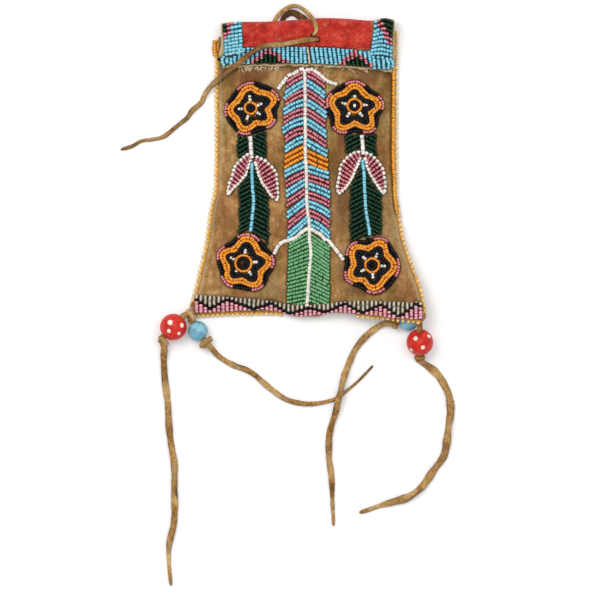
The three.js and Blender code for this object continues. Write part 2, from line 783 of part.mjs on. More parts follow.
const blueLeft = bigBeads.blue_left;
const blueLeftPath = [
  ...throughBead(blueLeft, [-6.2, -3, 0, 3.5, 7]),
  [-49.35, -88.9, 3.4], [-46, -92.75, 2],
  ...lying([
    [-41.9, -95.65], [-36.9, -98.15], [-31.95, -99.8], [-27.8, -102.3], [-23.65, -106], [-18.65, -110.15],
    [-13.7, -113.75], [-8.7, -115.8], [-2.1, -116.9], [4.55, -116.55], [11.2, -115], [14.5, -113.5],
    [18.65, -110.15], [23.6, -106], [27.75, -101.85], [31.5, -97.75],
  ], onTable),
];

const blueRight = bigBeads.blue_right;
const blueRightPath = [
  [54.4, -70.4, 9],
  [56.6, -72.2, 7.2],
  ...throughBead(blueRight, [-6.6, -3.5, 0, 3.5, 7.2]),
  [39.8, -76.6, 3.6], [36.75, -77, 2.4], [32.65, -79.3, 1.6],
  ...lying([[28.55, -82.6], [25, -86.45], [21.95, -91], [19.9, -95.6]], onTable),
  [17.85, -100.7, 1.7], [16.35, -105.8, 3.4], [15.3, -110.9, 4.85], [14.05, -115.5, 4.85], [13, -120.6, 3.4],
  [12.05, -123.55, 2.4],
  ...lying([
    [10.15, -129.9], [9.4, -135.55], [9.4, -140.65], [9.65, -145.7], [10.5, -151.35], [10.95, -157.05],
    [11.1, -162.75], [11.25, -168.45], [11.55, -173.5], [11.75, -177.9],
  ], onTable),
];

const redRight = bigBeads.red_right;
const redRightPath = [
  ...throughBead(redRight, [-11.2, -6, -3, 0, 3, 6.6]),
  [54.7, -94.3, 2.4],
  ...lying([
    [56.1, -96.2], [58.65, -97.9], [62.25, -100.7], [65.3, -104.3], [67.85, -108.9], [69.4, -112.5],
    [70.15, -117], [70.25, -121.5], [69.25, -128], [68.65, -133.65], [68, -138.75], [66.75, -143.15],
    [64.2, -146.95], [61.35, -150.75], [58.85, -154.55], [56.3, -158], [53.15, -160.85], [48.75, -163.7],
    [44.3, -165.15], [39.25, -166.55], [34.2, -168.1], [29.75, -169.7], [24.7, -171.3],
  ], onTable),
];

function knottedStrip(path, knots) {
  const parts = knots.map(([centre, way]) => knot(centre, way));
  return joined([strip(path, thongDiameter, 2 * thongDiameter), ...parts]);
}

const knotAfter = (bead, distance) => [throughBead(bead, [distance])[0], bead.way];
const cornerKnot = [[-59.5, -71.4, 5.9], [-1, 0, 0]];
const redKnot = redBeadDiameter / 2 + knotLength / 2 - 0.6;
const blueKnot = blueBeadDiameter / 2 + knotLength / 2 - 0.4;
add('thong_red_left', knottedStrip(redLeftPath, [cornerKnot, knotAfter(redLeft, redKnot)]), finishes.thong);
add('thong_blue_left', knottedStrip(blueLeftPath, [knotAfter(blueLeft, blueKnot)]), finishes.thong);
add('thong_blue_right', knottedStrip(blueRightPath, [knotAfter(blueRight, blueKnot)]), finishes.thong);
add('thong_red_right', knottedStrip(redRightPath, [knotAfter(redRight, redKnot)]), finishes.thong);

// Tie of the flap: a loose tail over the left edge, and a doubled loop from the slit down behind the fold
const tieTailPath = [
  [4.2, 65.2, 11.75], [-2.45, 64.7, 12.2], [-10.1, 63.2, 13.6], [-17, 62.25, 13.75], [-23.1, 61.65, 13.75],
  [-27.7, 59.35, 13.6], [-32.3, 55.9, 12.8], [-36.9, 52.1, 11.7], [-41.5, 48.65, 8.4], [-45.3, 45.6, 5.9],
  [-49.15, 42.15, 4], [-52.2, 38.3, 2.3], [-54.1, 34.1, 1.4],
  ...lying([
    [-56.4, 31.8], [-59.1, 29.5], [-61.4, 26.05], [-65.2, 23], [-69.8, 19.2], [-73.6, 16.5], [-79, 15.2],
    [-84.35, 14.45], [-88.95, 11.9], [-94.65, 10.15],
  ], tieOnTable),
];
const tieLoopPath = [
  [2.6, 68.4, 11.8], [3.2, 70.05, 11.8], [2.4, 73.6, 10.9], [-0.1, 76.9, 7.9], [-2.8, 79.8, 5.7],
  [-5.3, 81.5, 4.6], [-8, 82, 4], [-10.5, 81.35, 3.5], [-13.15, 79.8, 2.9], [-15.45, 77.75, 2.2],
  [-17.1, 75.65, 1.5],
];
const tieLoopInnerPath = lying([
  [-13.2, 76], [-12.55, 76.9], [-10.05, 78.55], [-7.55, 78.35], [-5.3, 76.9], [-3.2, 75.65],
], tieOnTable);
add('tie_tail', strip(tieTailPath, tieDiameter, 2.5 * tieDiameter), finishes.thong);
add('tie_loop', strip(tieLoopPath, tieDiameter, tieDiameter), finishes.thong);
add('tie_loop_inner', strip(tieLoopInnerPath, tieDiameter, tieDiameter), finishes.thong);

export default pouch;
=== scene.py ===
# A beaded hide pouch with a fold-over flap, four thongs with glass beads and a tie, lying on its back
import math

import bpy
import numpy as np
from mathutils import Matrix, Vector
from mathutils.kdtree import KDTree


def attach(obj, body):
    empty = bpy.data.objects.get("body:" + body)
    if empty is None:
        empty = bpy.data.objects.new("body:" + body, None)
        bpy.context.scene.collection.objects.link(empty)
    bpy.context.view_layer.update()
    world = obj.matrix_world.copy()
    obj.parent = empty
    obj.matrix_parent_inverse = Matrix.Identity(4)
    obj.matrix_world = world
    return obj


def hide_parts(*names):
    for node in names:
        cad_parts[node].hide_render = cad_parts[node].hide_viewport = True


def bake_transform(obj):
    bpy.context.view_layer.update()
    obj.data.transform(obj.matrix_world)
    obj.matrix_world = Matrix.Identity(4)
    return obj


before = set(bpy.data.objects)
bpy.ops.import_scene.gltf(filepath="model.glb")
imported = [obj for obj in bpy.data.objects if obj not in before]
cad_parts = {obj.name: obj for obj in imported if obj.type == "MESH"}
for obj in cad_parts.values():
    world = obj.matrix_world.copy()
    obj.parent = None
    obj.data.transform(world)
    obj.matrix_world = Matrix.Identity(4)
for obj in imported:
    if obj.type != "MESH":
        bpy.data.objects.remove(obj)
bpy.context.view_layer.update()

MM = 0.001
rng = np.random.default_rng(41)

# Camera
VIEW_CENTRE = (-5, -65)
VIEW_WIDTH = 300
VIEW_HEIGHT = 6000
VIEW_FAR = 20000
SENSOR = 36

# Hide, panels and flap
HIDE = 1.5
SEAM_TOP = 3.3
MOUTH_Y = 66.5
LEFT_EDGE = [(-72, -58.8), (-40, -51.2), (-30, -49.6), (-20, -48.3), (-8, -45.9), (MOUTH_Y, -45.7)]
RIGHT_EDGE = [
    (-75.2, 56.6), (-70.5, 56.2), (-65, 55.4), (-57, 53.2), (-40, 46.9), (-25, 43.6), (-8, 42),
    (MOUTH_Y, 42.2),
]
HEM_Y = (-72, -70.9, -75.2)
HEM_SAG = 2.4
HEM_SAG_AT = 0.49
HEM_SAG_HALF = 0.12
HEM_SAG_FALL = 0.075
LIP_Y = (51, 52, 49)
CORNER = (56.2, -75.2)
CORNER_LIFT = 11
CORNER_REACH = 57
POCKET_RISE = 4.9
CROWN_LENGTH = 75
FLAP_LEFT_X = -45.7
FLAP_RIGHT_X = 42.9
FLAP_GAP = 0.4
FOLD_RADIUS = 5.05
FOLD_Y = 69.95
QUARTER_FOLD = FOLD_RADIUS * math.pi / 2
# How far the fold stands out or back from its mean line, and where along the flap that begins
FOLD_WANDER = [
    (-46, -1.9), (-38, -1.1), (-22, -0.9), (-2, 0.3), (7, 0.9), (20, 0.4), (31, -0.4), (37, 0.7), (43, 0),
]
WANDER_FROM = 57
WANDER_SPAN = 15

# Seed beads
BEAD_RADIUS = 1.1
BEAD_PITCH = 1.34
ROW_PITCH = 2.0
BEAD_TURNS = np.radians([0, 24, 48, 80, 120, 180, 240, 280, 312, 336])
BEAD_SIDES = len(BEAD_TURNS)
BEAD_PROFILE = np.array([
    (-0.5, 0.5), (-0.5, 0.84), (-0.36, 0.96), (0, 1), (0.36, 0.96), (0.5, 0.84), (0.5, 0.5),
])
SEAT = 0.84
LENGTH_SHARE = 1.03
# How much the beads differ: tilt, share of size and of length, place, brightness and tint
BEAD_TILT = 0.07
SIZE_SPREAD = 0.035
LENGTH_SPREAD = 0.02
BEAD_JOG = 0.06
TONE_SPREAD = 0.09
TINT_SPREAD = 0.025


# Colours as they look on a screen, turned into the numbers that the shader takes
def screen(red, green, blue):
    values = np.array([red, green, blue], dtype=float)
    return np.where(values <= 0.04045, values / 12.92, ((values + 0.055) / 1.055) ** 2.4)


# Seed bead colours: the colour of the painted lit face, the painted shade colour low on the bead and in the
# gaps, the kind of glass, and the height on the bead, as a share of its radius, where the painted lit face
# begins
CHALK, DARK, CLEAR = 0, 1, 2
BEADS = {
    "blue": (screen(0.55, 0.83, 0.89), screen(0.03, 0.43, 0.56), CHALK, 0.64),
    "pink": (screen(0.96, 0.66, 0.71), screen(0.50, 0.03, 0.09), CHALK, 0.79),
    "rose": (screen(0.93, 0.66, 0.71), screen(0.50, 0.05, 0.12), CHALK, 0.56),
    "orange": (screen(0.93, 0.60, 0.10), screen(0.72, 0.29, 0.005), CHALK, 0.58),
    "edging": (screen(0.94, 0.65, 0.16), screen(0.72, 0.40, 0.06), CHALK, 0.5),
    "tooth": (screen(0.98, 0.83, 0.48), screen(0.84, 0.58, 0.22), CHALK, 0.3),
    "bleached": (screen(1.0, 0.93, 0.70), screen(0.93, 0.74, 0.40), CHALK, 0.3),
    "green": (screen(0.45, 0.69, 0.47), screen(0.07, 0.36, 0.15), CHALK, 0.66),
    "white": (screen(0.95, 0.92, 0.88), screen(0.80, 0.72, 0.66), CHALK, 0.2),
    "cream": (screen(0.84, 0.78, 0.68), screen(0.22, 0.16, 0.12), CHALK, 0.3),
    "forest": (screen(0.15, 0.38, 0.24), screen(0.002, 0.085, 0.045), DARK, 0.83),
    "navy": (screen(0.06, 0.05, 0.09), screen(0.012, 0.008, 0.025), DARK, 0.8),
    "pale": (screen(0.95, 0.93, 0.88), screen(0.50, 0.45, 0.36), CLEAR, 0.8),
}
LIT_SPAN = 0.27
# How much of its painted light a bead of each colour keeps at its ends, where painted shade darkens the gaps,
# and what the other colours keep
END_LIT = {
    "pale": 1, "white": 1, "cream": 1, "forest": 1, "pink": 0.7, "green": 0.5, "orange": 0.6, "blue": 0.35,
}
OTHER_END_LIT = 0.3


# Small sums
def mix(a, b, t):
    return a + (b - a) * t


def smooth(t):
    t = np.clip(t, 0, 1)
    return t * t * (3 - 2 * t)


def bowed(ends, u):
    left, middle, right = ends
    return left * (1 - u) * (1 - 2 * u) + 4 * middle * u * (1 - u) + right * u * (2 * u - 1)


# A smooth curve through stations of place and value
def batten(stations, place):
    spots = np.array([s[0] for s in stations], dtype=float)
    values = np.array([s[1] for s in stations], dtype=float)
    last = len(stations) - 1
    place = np.asarray(place, dtype=float)
    before = np.clip(np.searchsorted(spots, place, side="right") - 1, 0, last - 1)
    low = np.clip(np.arange(last + 1) - 1, 0, last)
    high = np.clip(np.arange(last + 1) + 1, 0, last)
    slopes = (values[high] - values[low]) / (spots[high] - spots[low])
    span = spots[before + 1] - spots[before]
    t = (place - spots[before]) / span
    rise = slopes[before] * span * t * (1 - t) ** 2 - slopes[before + 1] * span * t * t * (1 - t)
    return mix(values[before], values[before + 1], smooth(t)) + rise


# A smooth line of points through the given points, about a step apart
def smooth_line(points, step=0.3, closed=False):
    points = np.asarray(points, dtype=float)
    if len(points) == 2 and not closed:
        points = np.array([points[0], points.mean(axis=0), points[1]])
    if closed:
        ring = np.vstack([points[-1], points, points[0], points[1]])
    else:
        ring = np.vstack([2 * points[0] - points[1], points, 2 * points[-1] - points[-2]])
    parts = []
    for a, b, c, d in zip(ring, ring[1:], ring[2:], ring[3:]):
        count = max(2, int(np.linalg.norm(c - b) / step))
        t = (np.arange(count) / count)[:, None]
        part = 2 * b + (c - a) * t + (2 * a - 5 * b + 4 * c - d) * t ** 2 + (3 * b - a - 3 * c + d) * t ** 3
        parts.append(part / 2)
    parts.append(ring[-2][None, :])
    return np.vstack(parts)


def distances(line):
    steps = np.linalg.norm(np.diff(line, axis=0), axis=1)
    return np.concatenate([[0], np.cumsum(steps)])


def resampled(line, at):
    along = distances(line)
    return np.stack([np.interp(at, along, line[:, k]) for k in range(line.shape[1])], axis=-1)


def unit(vectors):
    return vectors / np.maximum(np.linalg.norm(vectors, axis=-1, keepdims=True), 1e-9)


def together(*parts):
    return np.stack(parts, axis=-1)


# The angles of so many even steps round a circle
def circle(count):
    return np.arange(count) / count * 2 * math.pi


# Smooth random wave along a line, from -1 to 1
def wave(at, length, lines=3):
    total = np.zeros_like(at)
    for k in range(lines):
        total += np.sin(at / length * (k + 1) * 2 * math.pi + rng.uniform(0, 6.28)) / (k + 1)
    return total / 1.8


# Surfaces of the pouch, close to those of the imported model
def left_x(y):
    return batten(LEFT_EDGE, y)


def right_x(y):
    return batten(RIGHT_EDGE, y)


def hem_y(u):
    return bowed(HEM_Y, u) - HEM_SAG * smooth((HEM_SAG_HALF - np.abs(u - HEM_SAG_AT)) / HEM_SAG_FALL)


def share_across(x, y):
    return np.clip((x - left_x(y)) / (right_x(y) - left_x(y)), 0, 1)


def lift(x, y):
    short = ((x - CORNER[0]) - (y - CORNER[1])) / math.sqrt(2)
    return CORNER_LIFT * smooth(1 + short / CORNER_REACH)


def crown(x, y):
    u = share_across(x, y)
    along = np.clip((y - hem_y(u)) / CROWN_LENGTH, 0, 1)
    return POCKET_RISE * (1 - np.abs(2 * u - 1) ** 4) * (1 - (1 - along) ** 4)


def front_top(x, y):
    return lift(x, y) + SEAM_TOP + crown(x, y)


def flap_height(x, y):
    u = share_across(x, y)
    low = SEAM_TOP + crown(x, y) + FLAP_GAP + HIDE
    return mix(2 * FOLD_RADIUS, low, smooth((FOLD_Y - y) / (FOLD_Y - bowed(LIP_Y, u))))


def front_spot(x, y):
    return together(x, y, front_top(x, y))


def fold_wander(x, y):
    return batten(FOLD_WANDER, x) * smooth((y - WANDER_FROM) / WANDER_SPAN)


# The flap's upper face, with y measured along the hide where it goes round the fold
def flap_spot(x, y, out=0):
    turn = (QUARTER_FOLD - (y - FOLD_Y)) / FOLD_RADIUS
    radius = FOLD_RADIUS + out
    round_y = FOLD_Y + radius * np.cos(turn)
    round_z = FOLD_RADIUS + radius * np.sin(turn)
    folded = y > FOLD_Y
    return together(
        x + 0 * y,
        np.where(folded, round_y, y) + fold_wander(x, y),
        np.where(folded, round_z, flap_height(x, np.minimum(y, FOLD_Y)) + out),
    )


# Camera: it looks straight down, as in the photograph
camera_data = bpy.data.cameras.new("camera")
camera_data.sensor_width = SENSOR
camera_data.lens = SENSOR * VIEW_HEIGHT / VIEW_WIDTH
camera_data.clip_end = VIEW_FAR * MM
camera = bpy.data.objects.new("camera", camera_data)
camera.location = (VIEW_CENTRE[0] * MM, VIEW_CENTRE[1] * MM, VIEW_HEIGHT * MM)
bpy.context.collection.objects.link(camera)
bpy.context.scene.camera = camera
bpy.context.scene.view_settings.view_transform = "Standard"


# Shader building
class Shader:
    def __init__(self, name):
        self.material = bpy.data.materials.new(name)
        self.material.use_nodes = True
        self.tree = self.material.node_tree
        self.surface = self.tree.nodes["Principled BSDF"]

    def add(self, kind, settings=None, **inputs):
        node = self.tree.nodes.new(kind)
        for key, value in (settings or {}).items():
            setattr(node, key, value)
        for key, value in inputs.items():
            self.put(node, key.replace("_", " "), value)
        return node

    # Sockets go by their names, or by their numbers as i0, i1 and so on
    def put(self, node, key, value):
        socket = node.inputs[int(key[1:])] if key[0] == "i" and key[1:].isdigit() else node.inputs[key]
        if isinstance(value, bpy.types.NodeSocket):
            self.tree.links.new(value, socket)
        elif isinstance(value, np.ndarray):
            socket.default_value = (*value, 1)
        else:
            socket.default_value = value

    def set(self, **inputs):
        for key, value in inputs.items():
            self.put(self.surface, key.replace("_", " "), value)

    def place(self):
        return self.add("ShaderNodeTexCoord").outputs["Object"]

    def noise(self, scale, detail=3, rough=0.55, where=None):
        where = where or self.place()
        node = self.add("ShaderNodeTexNoise", Vector=where, Scale=scale, Detail=detail, Roughness=rough)
        return node.outputs["Fac"]

    def ramp(self, value, stops):
        node = self.add("ShaderNodeValToRGB", Fac=value)
        marks = node.color_ramp.elements
        while len(marks) < len(stops):
            marks.new(0.5)
        for mark, (spot, colour) in zip(marks, stops):
            mark.position = spot
            mark.color = (*colour, 1)
        return node.outputs["Color"]

    def blend(self, share, first, second, mode="MIX"):
        node = self.add("ShaderNodeMix", {"data_type": "RGBA", "blend_type": mode})
        self.put(node, "i0", share)
        self.put(node, "i6", first)
        self.put(node, "i7", second)
        return node.outputs[2]

    def sum(self, kind, first, second):
        return self.add("ShaderNodeMath", {"operation": kind}, i0=first, i1=second).outputs[0]

    def times(self, first, second):
        return self.sum("MULTIPLY", first, second)

    # The sum of values, each times its weight
    def weighted(self, *pairs):
        total = None
        for value, weight in pairs:
            part = self.times(value, weight)
            total = part if total is None else self.sum("ADD", total, part)
        return total

    def between(self, value, low, high):
        node = self.add("ShaderNodeMapRange", {"interpolation_type": "SMOOTHSTEP"})
        self.put(node, "i0", value)
        self.put(node, "i1", low)
        self.put(node, "i2", high)
        return node.outputs[0]

    def attribute(self, name, output="Fac"):
        return self.add("ShaderNodeAttribute", {"attribute_name": name}).outputs[output]

    def bump(self, height, strength, distance):
        node = self.add("ShaderNodeBump", Strength=strength, Distance=distance, Height=height)
        self.set(Normal=node.outputs["Normal"])


# Smoked hide: mottled browns, dark rubbed stains, pale scuffs, fine nap; redder stains from the mesh, two of
# them a painted shadow below the flap's lip; red paint, and painted shade round the beads, in the slits and
# below the lip, where the mesh says so
def hide_material():
    s = Shader("hide")
    patches = s.noise(30, 4, 0.6)
    mottles = s.noise(190, 4, 0.7)
    long_way = s.add("ShaderNodeMapping", Vector=s.place(), Scale=(1, 0.3, 1)).outputs[0]
    streaks = s.noise(420, 4, 0.65, long_way)
    nap = s.noise(1300, 3, 0.7)
    brown = s.ramp(s.weighted((patches, 0.35), (mottles, 0.3), (streaks, 0.2), (nap, 0.15)), [
        (0.435, screen(0.40, 0.26, 0.12)), (0.47, screen(0.56, 0.40, 0.21)), (0.50, screen(0.67, 0.51, 0.30)),
        (0.53, screen(0.75, 0.60, 0.38)), (0.565, screen(0.86, 0.74, 0.54)),
    ])
    ruddy = s.between(s.noise(62, 3, 0.6), 0.48, 0.68)
    # The mesh's ruddy colour holds stains and a painted shadow below the flap's lip
    ruddy = s.sum("MAXIMUM", s.times(ruddy, 0.25), s.attribute("ruddy"))
    tints = s.ramp(s.noise(130, 4, 0.7, long_way), [
        (0.40, screen(0.57, 0.48, 0.22)), (0.5, screen(0.66, 0.47, 0.26)), (0.60, screen(0.77, 0.54, 0.34)),
    ])
    brown = s.blend(0.42, brown, tints)
    brown = s.blend(ruddy, brown, screen(0.40, 0.24, 0.125))
    flecks = s.between(s.noise(700, 3, 0.7), 0.58, 0.72)
    brown = s.blend(s.times(flecks, 0.45), brown, screen(0.34, 0.21, 0.10))
    brown = s.blend(s.attribute("wear_and_painted_shade"), brown, screen(0.84, 0.75, 0.58))
    # Painted shade and painted shadow from the mesh darken the hide and the red paint
    brown = s.blend(s.times(s.attribute("painted_shade"), 0.85), brown, screen(0.13, 0.08, 0.05))
    red = s.ramp(s.weighted((mottles, 0.6), (nap, 0.4)), [
        (0.36, screen(0.56, 0.10, 0.08)), (0.48, screen(0.74, 0.17, 0.13)), (0.60, screen(0.85, 0.31, 0.23)),
    ])
    scuffs = s.between(s.sum("ADD", s.noise(210, 5, 0.75), s.times(flecks, 0.08)), 0.56, 0.72)
    red = s.blend(s.times(scuffs, 0.75), red, screen(0.78, 0.50, 0.33))
    red = s.blend(s.attribute("painted_shade"), red, screen(0.30, 0.06, 0.05))
    s.set(
        Base_Color=s.blend(s.attribute("paint"), brown, red), Roughness=0.86, Specular_IOR_Level=0.2,
        Sheen_Weight=0.1,
    )
    s.bump(s.sum("ADD", nap, s.times(mottles, 1.5)), 0.8, 0.0006)
    return s.material


# Cut thongs: tan hide with darker handled stretches and lengthwise fibres; the mesh's darkening also holds
# painted shade on the knots' windings and on the loop's inner strand
def thong_material():
    s = Shader("thong_hide")
    stretches = s.noise(75, 4, 0.65)
    fibres = s.noise(800, 4, 0.7)
    tan = s.ramp(s.weighted((stretches, 0.55), (fibres, 0.45)), [
        (0.38, screen(0.42, 0.27, 0.11)), (0.46, screen(0.59, 0.42, 0.21)),
        (0.53, screen(0.72, 0.55, 0.32)), (0.62, screen(0.85, 0.73, 0.51)),
    ])
    tan = s.blend(s.attribute("bleached"), tan, screen(0.86, 0.73, 0.52))
    # Wear and painted shade from the mesh darken the tan
    tan = s.blend(s.attribute("wear_and_painted_shade"), tan, screen(0.30, 0.19, 0.09))
    s.set(Base_Color=tan, Roughness=0.8, Specular_IOR_Level=0.25)
    s.bump(fibres, 0.8, 0.0005)
    return s.material


# Seed bead glass: each bead's own tone with its painted highlight and painted shade, a little streaked
def seed_material(name, roughness, specular, streak):
    s = Shader(name)
    tone_with_painted_light = s.attribute("tone_with_painted_light", "Color")
    streaks = s.noise(2600, 2, 0.6)
    shade = s.ramp(streaks, [(0.3, np.full(3, 1 - streak)), (0.7, np.ones(3))])
    colour = s.blend(1.0, tone_with_painted_light, shade, "MULTIPLY")
    s.set(Base_Color=colour, Roughness=roughness, Specular_IOR_Level=specular)
    s.bump(streaks, 0.15, 0.0001)
    return s.material


# Big beads: wound glass with faint swirls and worn scuffs
def ball_material(name, light, deep):
    s = Shader(name)
    swirls = s.noise(260, 3, 0.6)
    scuffs = s.between(s.noise(900, 3, 0.7), 0.58, 0.72)
    colour = s.ramp(swirls, [(0.32, deep), (0.6, light)])
    colour = s.blend(s.times(scuffs, 0.18), colour, screen(0.95, 0.88, 0.80))
    roughness = s.ramp(scuffs, [(0, np.full(3, 0.34)), (1, np.full(3, 0.5))])
    s.set(Base_Color=colour, Roughness=roughness, Specular_IOR_Level=0.3)
    s.bump(swirls, 0.2, 0.0002)
    return s.material


def thread_material():
    s = Shader("cotton_thread")
    twist = s.noise(1800, 2, 0.6)
    pale = s.ramp(twist, [(0.35, screen(0.66, 0.55, 0.40)), (0.65, screen(0.92, 0.85, 0.74))])
    s.set(Base_Color=pale, Roughness=0.9)
    s.bump(twist, 0.4, 0.0001)
    return s.material


HIDE_LOOK = hide_material()
THONG_LOOK = thong_material()
SEED_LOOKS = [
    seed_material("chalk_glass", 0.28, 0.4, 0.10),
    seed_material("dark_glass", 0.3, 0.14, 0.25),
    seed_material("clear_glass", 0.15, 0.7, 0.20),
]
BALL_LOOKS = {
    "red": ball_material("red_glass", screen(0.87, 0.17, 0.09), screen(0.73, 0.07, 0.035)),
    "blue": ball_material("blue_glass", screen(0.56, 0.78, 0.84), screen(0.38, 0.61, 0.72)),
}
SPOT_LOOK = ball_material("white_glass", screen(0.98, 0.95, 0.90), screen(0.92, 0.85, 0.77))
THREAD_LOOK = thread_material()


# Meshes from arrays of points and lists of faces
def mesh_object(name, points, faces, looks, kinds=None, floats=None, colours=None):
    mesh = bpy.data.meshes.new(name)
    sizes = np.array([len(face) for face in faces])
    corners = np.concatenate([np.asarray(face, dtype=np.int32) for face in faces])
    mesh.vertices.add(len(points))
    mesh.vertices.foreach_set("co", (np.asarray(points, dtype=np.float32) * MM).ravel())
    mesh.loops.add(len(corners))
    mesh.loops.foreach_set("vertex_index", corners)
    mesh.polygons.add(len(faces))
    mesh.polygons.foreach_set("loop_start", (np.cumsum(sizes) - sizes).astype(np.int32))
    for look in looks:
        mesh.materials.append(look)
    if kinds is not None:
        mesh.polygons.foreach_set("material_index", np.asarray(kinds, dtype=np.int32))
    mesh.update(calc_edges=True)
    mesh.polygons.foreach_set("use_smooth", np.ones(len(faces), dtype=bool))
    for key, values in (floats or {}).items():
        layer = mesh.attributes.new(key, "FLOAT", "POINT")
        layer.data.foreach_set("value", np.asarray(values, dtype=np.float32).ravel())
    if colours is not None:
        layer = mesh.attributes.new("tone_with_painted_light", "FLOAT_COLOR", "POINT")
        full = np.hstack([colours, np.ones((len(colours), 1))])
        layer.data.foreach_set("color", full.astype(np.float32).ravel())
    thing = bpy.data.objects.new(name, mesh)
    bpy.context.collection.objects.link(thing)
    return thing


# Faces of a grid of points, rows by columns, with either way joined up
def grid_faces(rows, columns, round_rows=False, round_columns=False):
    r = np.arange(rows if round_rows else rows - 1)
    c = np.arange(columns if round_columns else columns - 1)
    rr, cc = np.meshgrid(r, c, indexing="ij")
    up = (rr + 1) % rows
    side = (cc + 1) % columns
    quads = [rr * columns + cc, rr * columns + side, up * columns + side, up * columns + cc]
    return np.stack([q.ravel() for q in quads], axis=-1)


# A closed hide shell between two grids, with a rounded rim; a pair of floats is for the upper and lower face
def shell(name, upper, lower, floats):
    rows, columns, _ = upper.shape
    count = rows * columns
    top = grid_faces(rows, columns)
    index = np.arange(count).reshape(rows, columns)
    rim = np.concatenate([index[0, :-1], index[:-1, -1], index[-1, :0:-1], index[:0:-1, 0]])
    points = np.vstack([upper.reshape(-1, 3), lower.reshape(-1, 3)])
    middle = (points[rim] + points[rim + count]) / 2
    ring = 2 * count + np.arange(len(rim))
    following = np.roll(np.arange(len(rim)), -1)
    high = np.stack([rim, ring, ring[following], rim[following]], axis=-1)
    low = np.stack([ring, rim + count, rim[following] + count, ring[following]], axis=-1)
    faces = np.vstack([top, (top + count)[:, ::-1], high, low])
    data = {}
    for key, values in floats.items():
        above, below = values if isinstance(values, tuple) else (values, values)
        data[key] = np.concatenate([above.ravel(), below.ravel(), above.ravel()[rim]])
    return mesh_object(name, np.vstack([points, middle]), faces, [HIDE_LOOK], floats=data)


# A piece that stands for CAD nodes and rides on a body
def settle(thing, body, slot, *nodes):
    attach(thing, body)
    if nodes:
        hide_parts(*nodes)


# Cut thongs: widths, heights of their middle lines on the table, and how they vary along their way
THONG = 3.0
TIE = 2.5
THONG_SIDES = 12
THONG_SQUARENESS = 0.75
TABLE = 1.55
TIE_TABLE = 1.3
SWELL = 0.13
SWELL_LENGTH = 19
ROLL_LENGTH = 37
TIP_SHARE = 0.55
TIP_LENGTH = 1.5
START_LENGTH = 7
FLESH_DARK = 0.55
HANDLED_DARK = 0.42
HANDLED_LENGTH = 29
EDGE_DARK = 0.6
EDGE_DARK_LENGTHS = {1: 23, -1: 17}
END_DARK = 0.4
BLEACHING = 0.5
BLEACHING_LENGTH = 41


# The ring points of a flattened, rolling strip along a line
def strip(line, half_widths, half_heights, rolls, floor_gap):
    ways = unit(np.gradient(line, axis=0))
    sides = unit(np.cross(np.array([0, 0, 1.0]), ways))
    ups = np.cross(ways, sides)
    angles = circle(THONG_SIDES)
    across = np.sign(np.cos(angles)) * np.abs(np.cos(angles)) ** THONG_SQUARENESS
    over = np.sign(np.sin(angles)) * np.abs(np.sin(angles)) ** THONG_SQUARENESS
    a = half_widths[:, None] * across
    b = half_heights[:, None] * over
    turn_c = np.cos(rolls)[:, None]
    turn_s = np.sin(rolls)[:, None]
    aside = a * turn_c - b * turn_s
    above = a * turn_s + b * turn_c
    rings = line[:, None, :] + aside[..., None] * sides[:, None, :] + above[..., None] * ups[:, None, :]
    lowest = rings[..., 2].min(axis=1)
    rest = np.maximum(line[:, 2] - floor_gap, 0)
    rings[..., 2] += np.where(lowest > rest, rest - lowest, np.maximum(-lowest, 0))[:, None]
    return rings


# A tube through rings of points, closed at both ends
def tube(rings):
    count, sides, _ = rings.shape
    points = np.vstack([rings.reshape(-1, 3), rings[0].mean(axis=0), rings[-1].mean(axis=0)])
    faces = list(grid_faces(count, sides, round_columns=True))
    last = (count - 1) * sides
    for k in range(sides):
        after = (k + 1) % sides
        faces.append(np.array([after, k, count * sides]))
        faces.append(np.array([last + k, last + after, count * sides + 1]))
    return points, faces


# A thong along a route, thinner towards its free end, rolling on its way; its flesh side is darker
def thong(name, route, width, taper, roll_size, end_share, flat=0.74, dark=0.0, start_share=0.7):
    line = smooth_line(route, 1.0)
    along = distances(line)
    left = along[-1] - along
    half = width / 2 * (1 + SWELL * wave(along, SWELL_LENGTH)) * mix(end_share, 1, smooth(left / taper))
    half *= mix(TIP_SHARE, 1, smooth(left / TIP_LENGTH)) * mix(start_share, 1, smooth(along / START_LENGTH))
    rolls = roll_size * wave(along, ROLL_LENGTH)
    rings = strip(line, half, half * flat, rolls, width / 2)
    points, faces = tube(rings)
    turn = circle(THONG_SIDES)
    flesh = FLESH_DARK * smooth(0.3 - np.sin(turn))
    wear_and_painted_shade = dark + HANDLED_DARK * wave(along, HANDLED_LENGTH)[:, None] + flesh[None]
    for step, length in EDGE_DARK_LENGTHS.items():
        edge = smooth((step * np.cos(turn) - 0.5) / 0.4)
        wear_and_painted_shade = wear_and_painted_shade + EDGE_DARK * np.clip(0.35 + 0.6 * wave(along, length), 0, 1)[:, None] * edge[None]
    wear_and_painted_shade = np.clip(np.concatenate([wear_and_painted_shade.ravel(), np.full(2, dark + END_DARK)]), 0, 1)
    bleached = np.repeat(BLEACHING * np.clip(wave(along, BLEACHING_LENGTH), 0, 1), THONG_SIDES)
    bleached = np.concatenate([bleached, np.zeros(2)])
    thing = mesh_object(name, points, faces, [THONG_LOOK], floats={"wear_and_painted_shade": wear_and_painted_shade, "bleached": bleached})
    return thing, line, along[-1]


# A knot: the thong's own end wound round it twice, with a bulging crossing
KNOT_TURNS = 2.1
KNOT_STEPS = 44
KNOT_TUBE = 1.15
KNOT_REACH = 1.7
KNOT_LENGTH = 4.8
KNOT_FLAT = 0.85
KNOT_SWAY = 0.7
KNOT_PAINTED_SHADE = 0.7


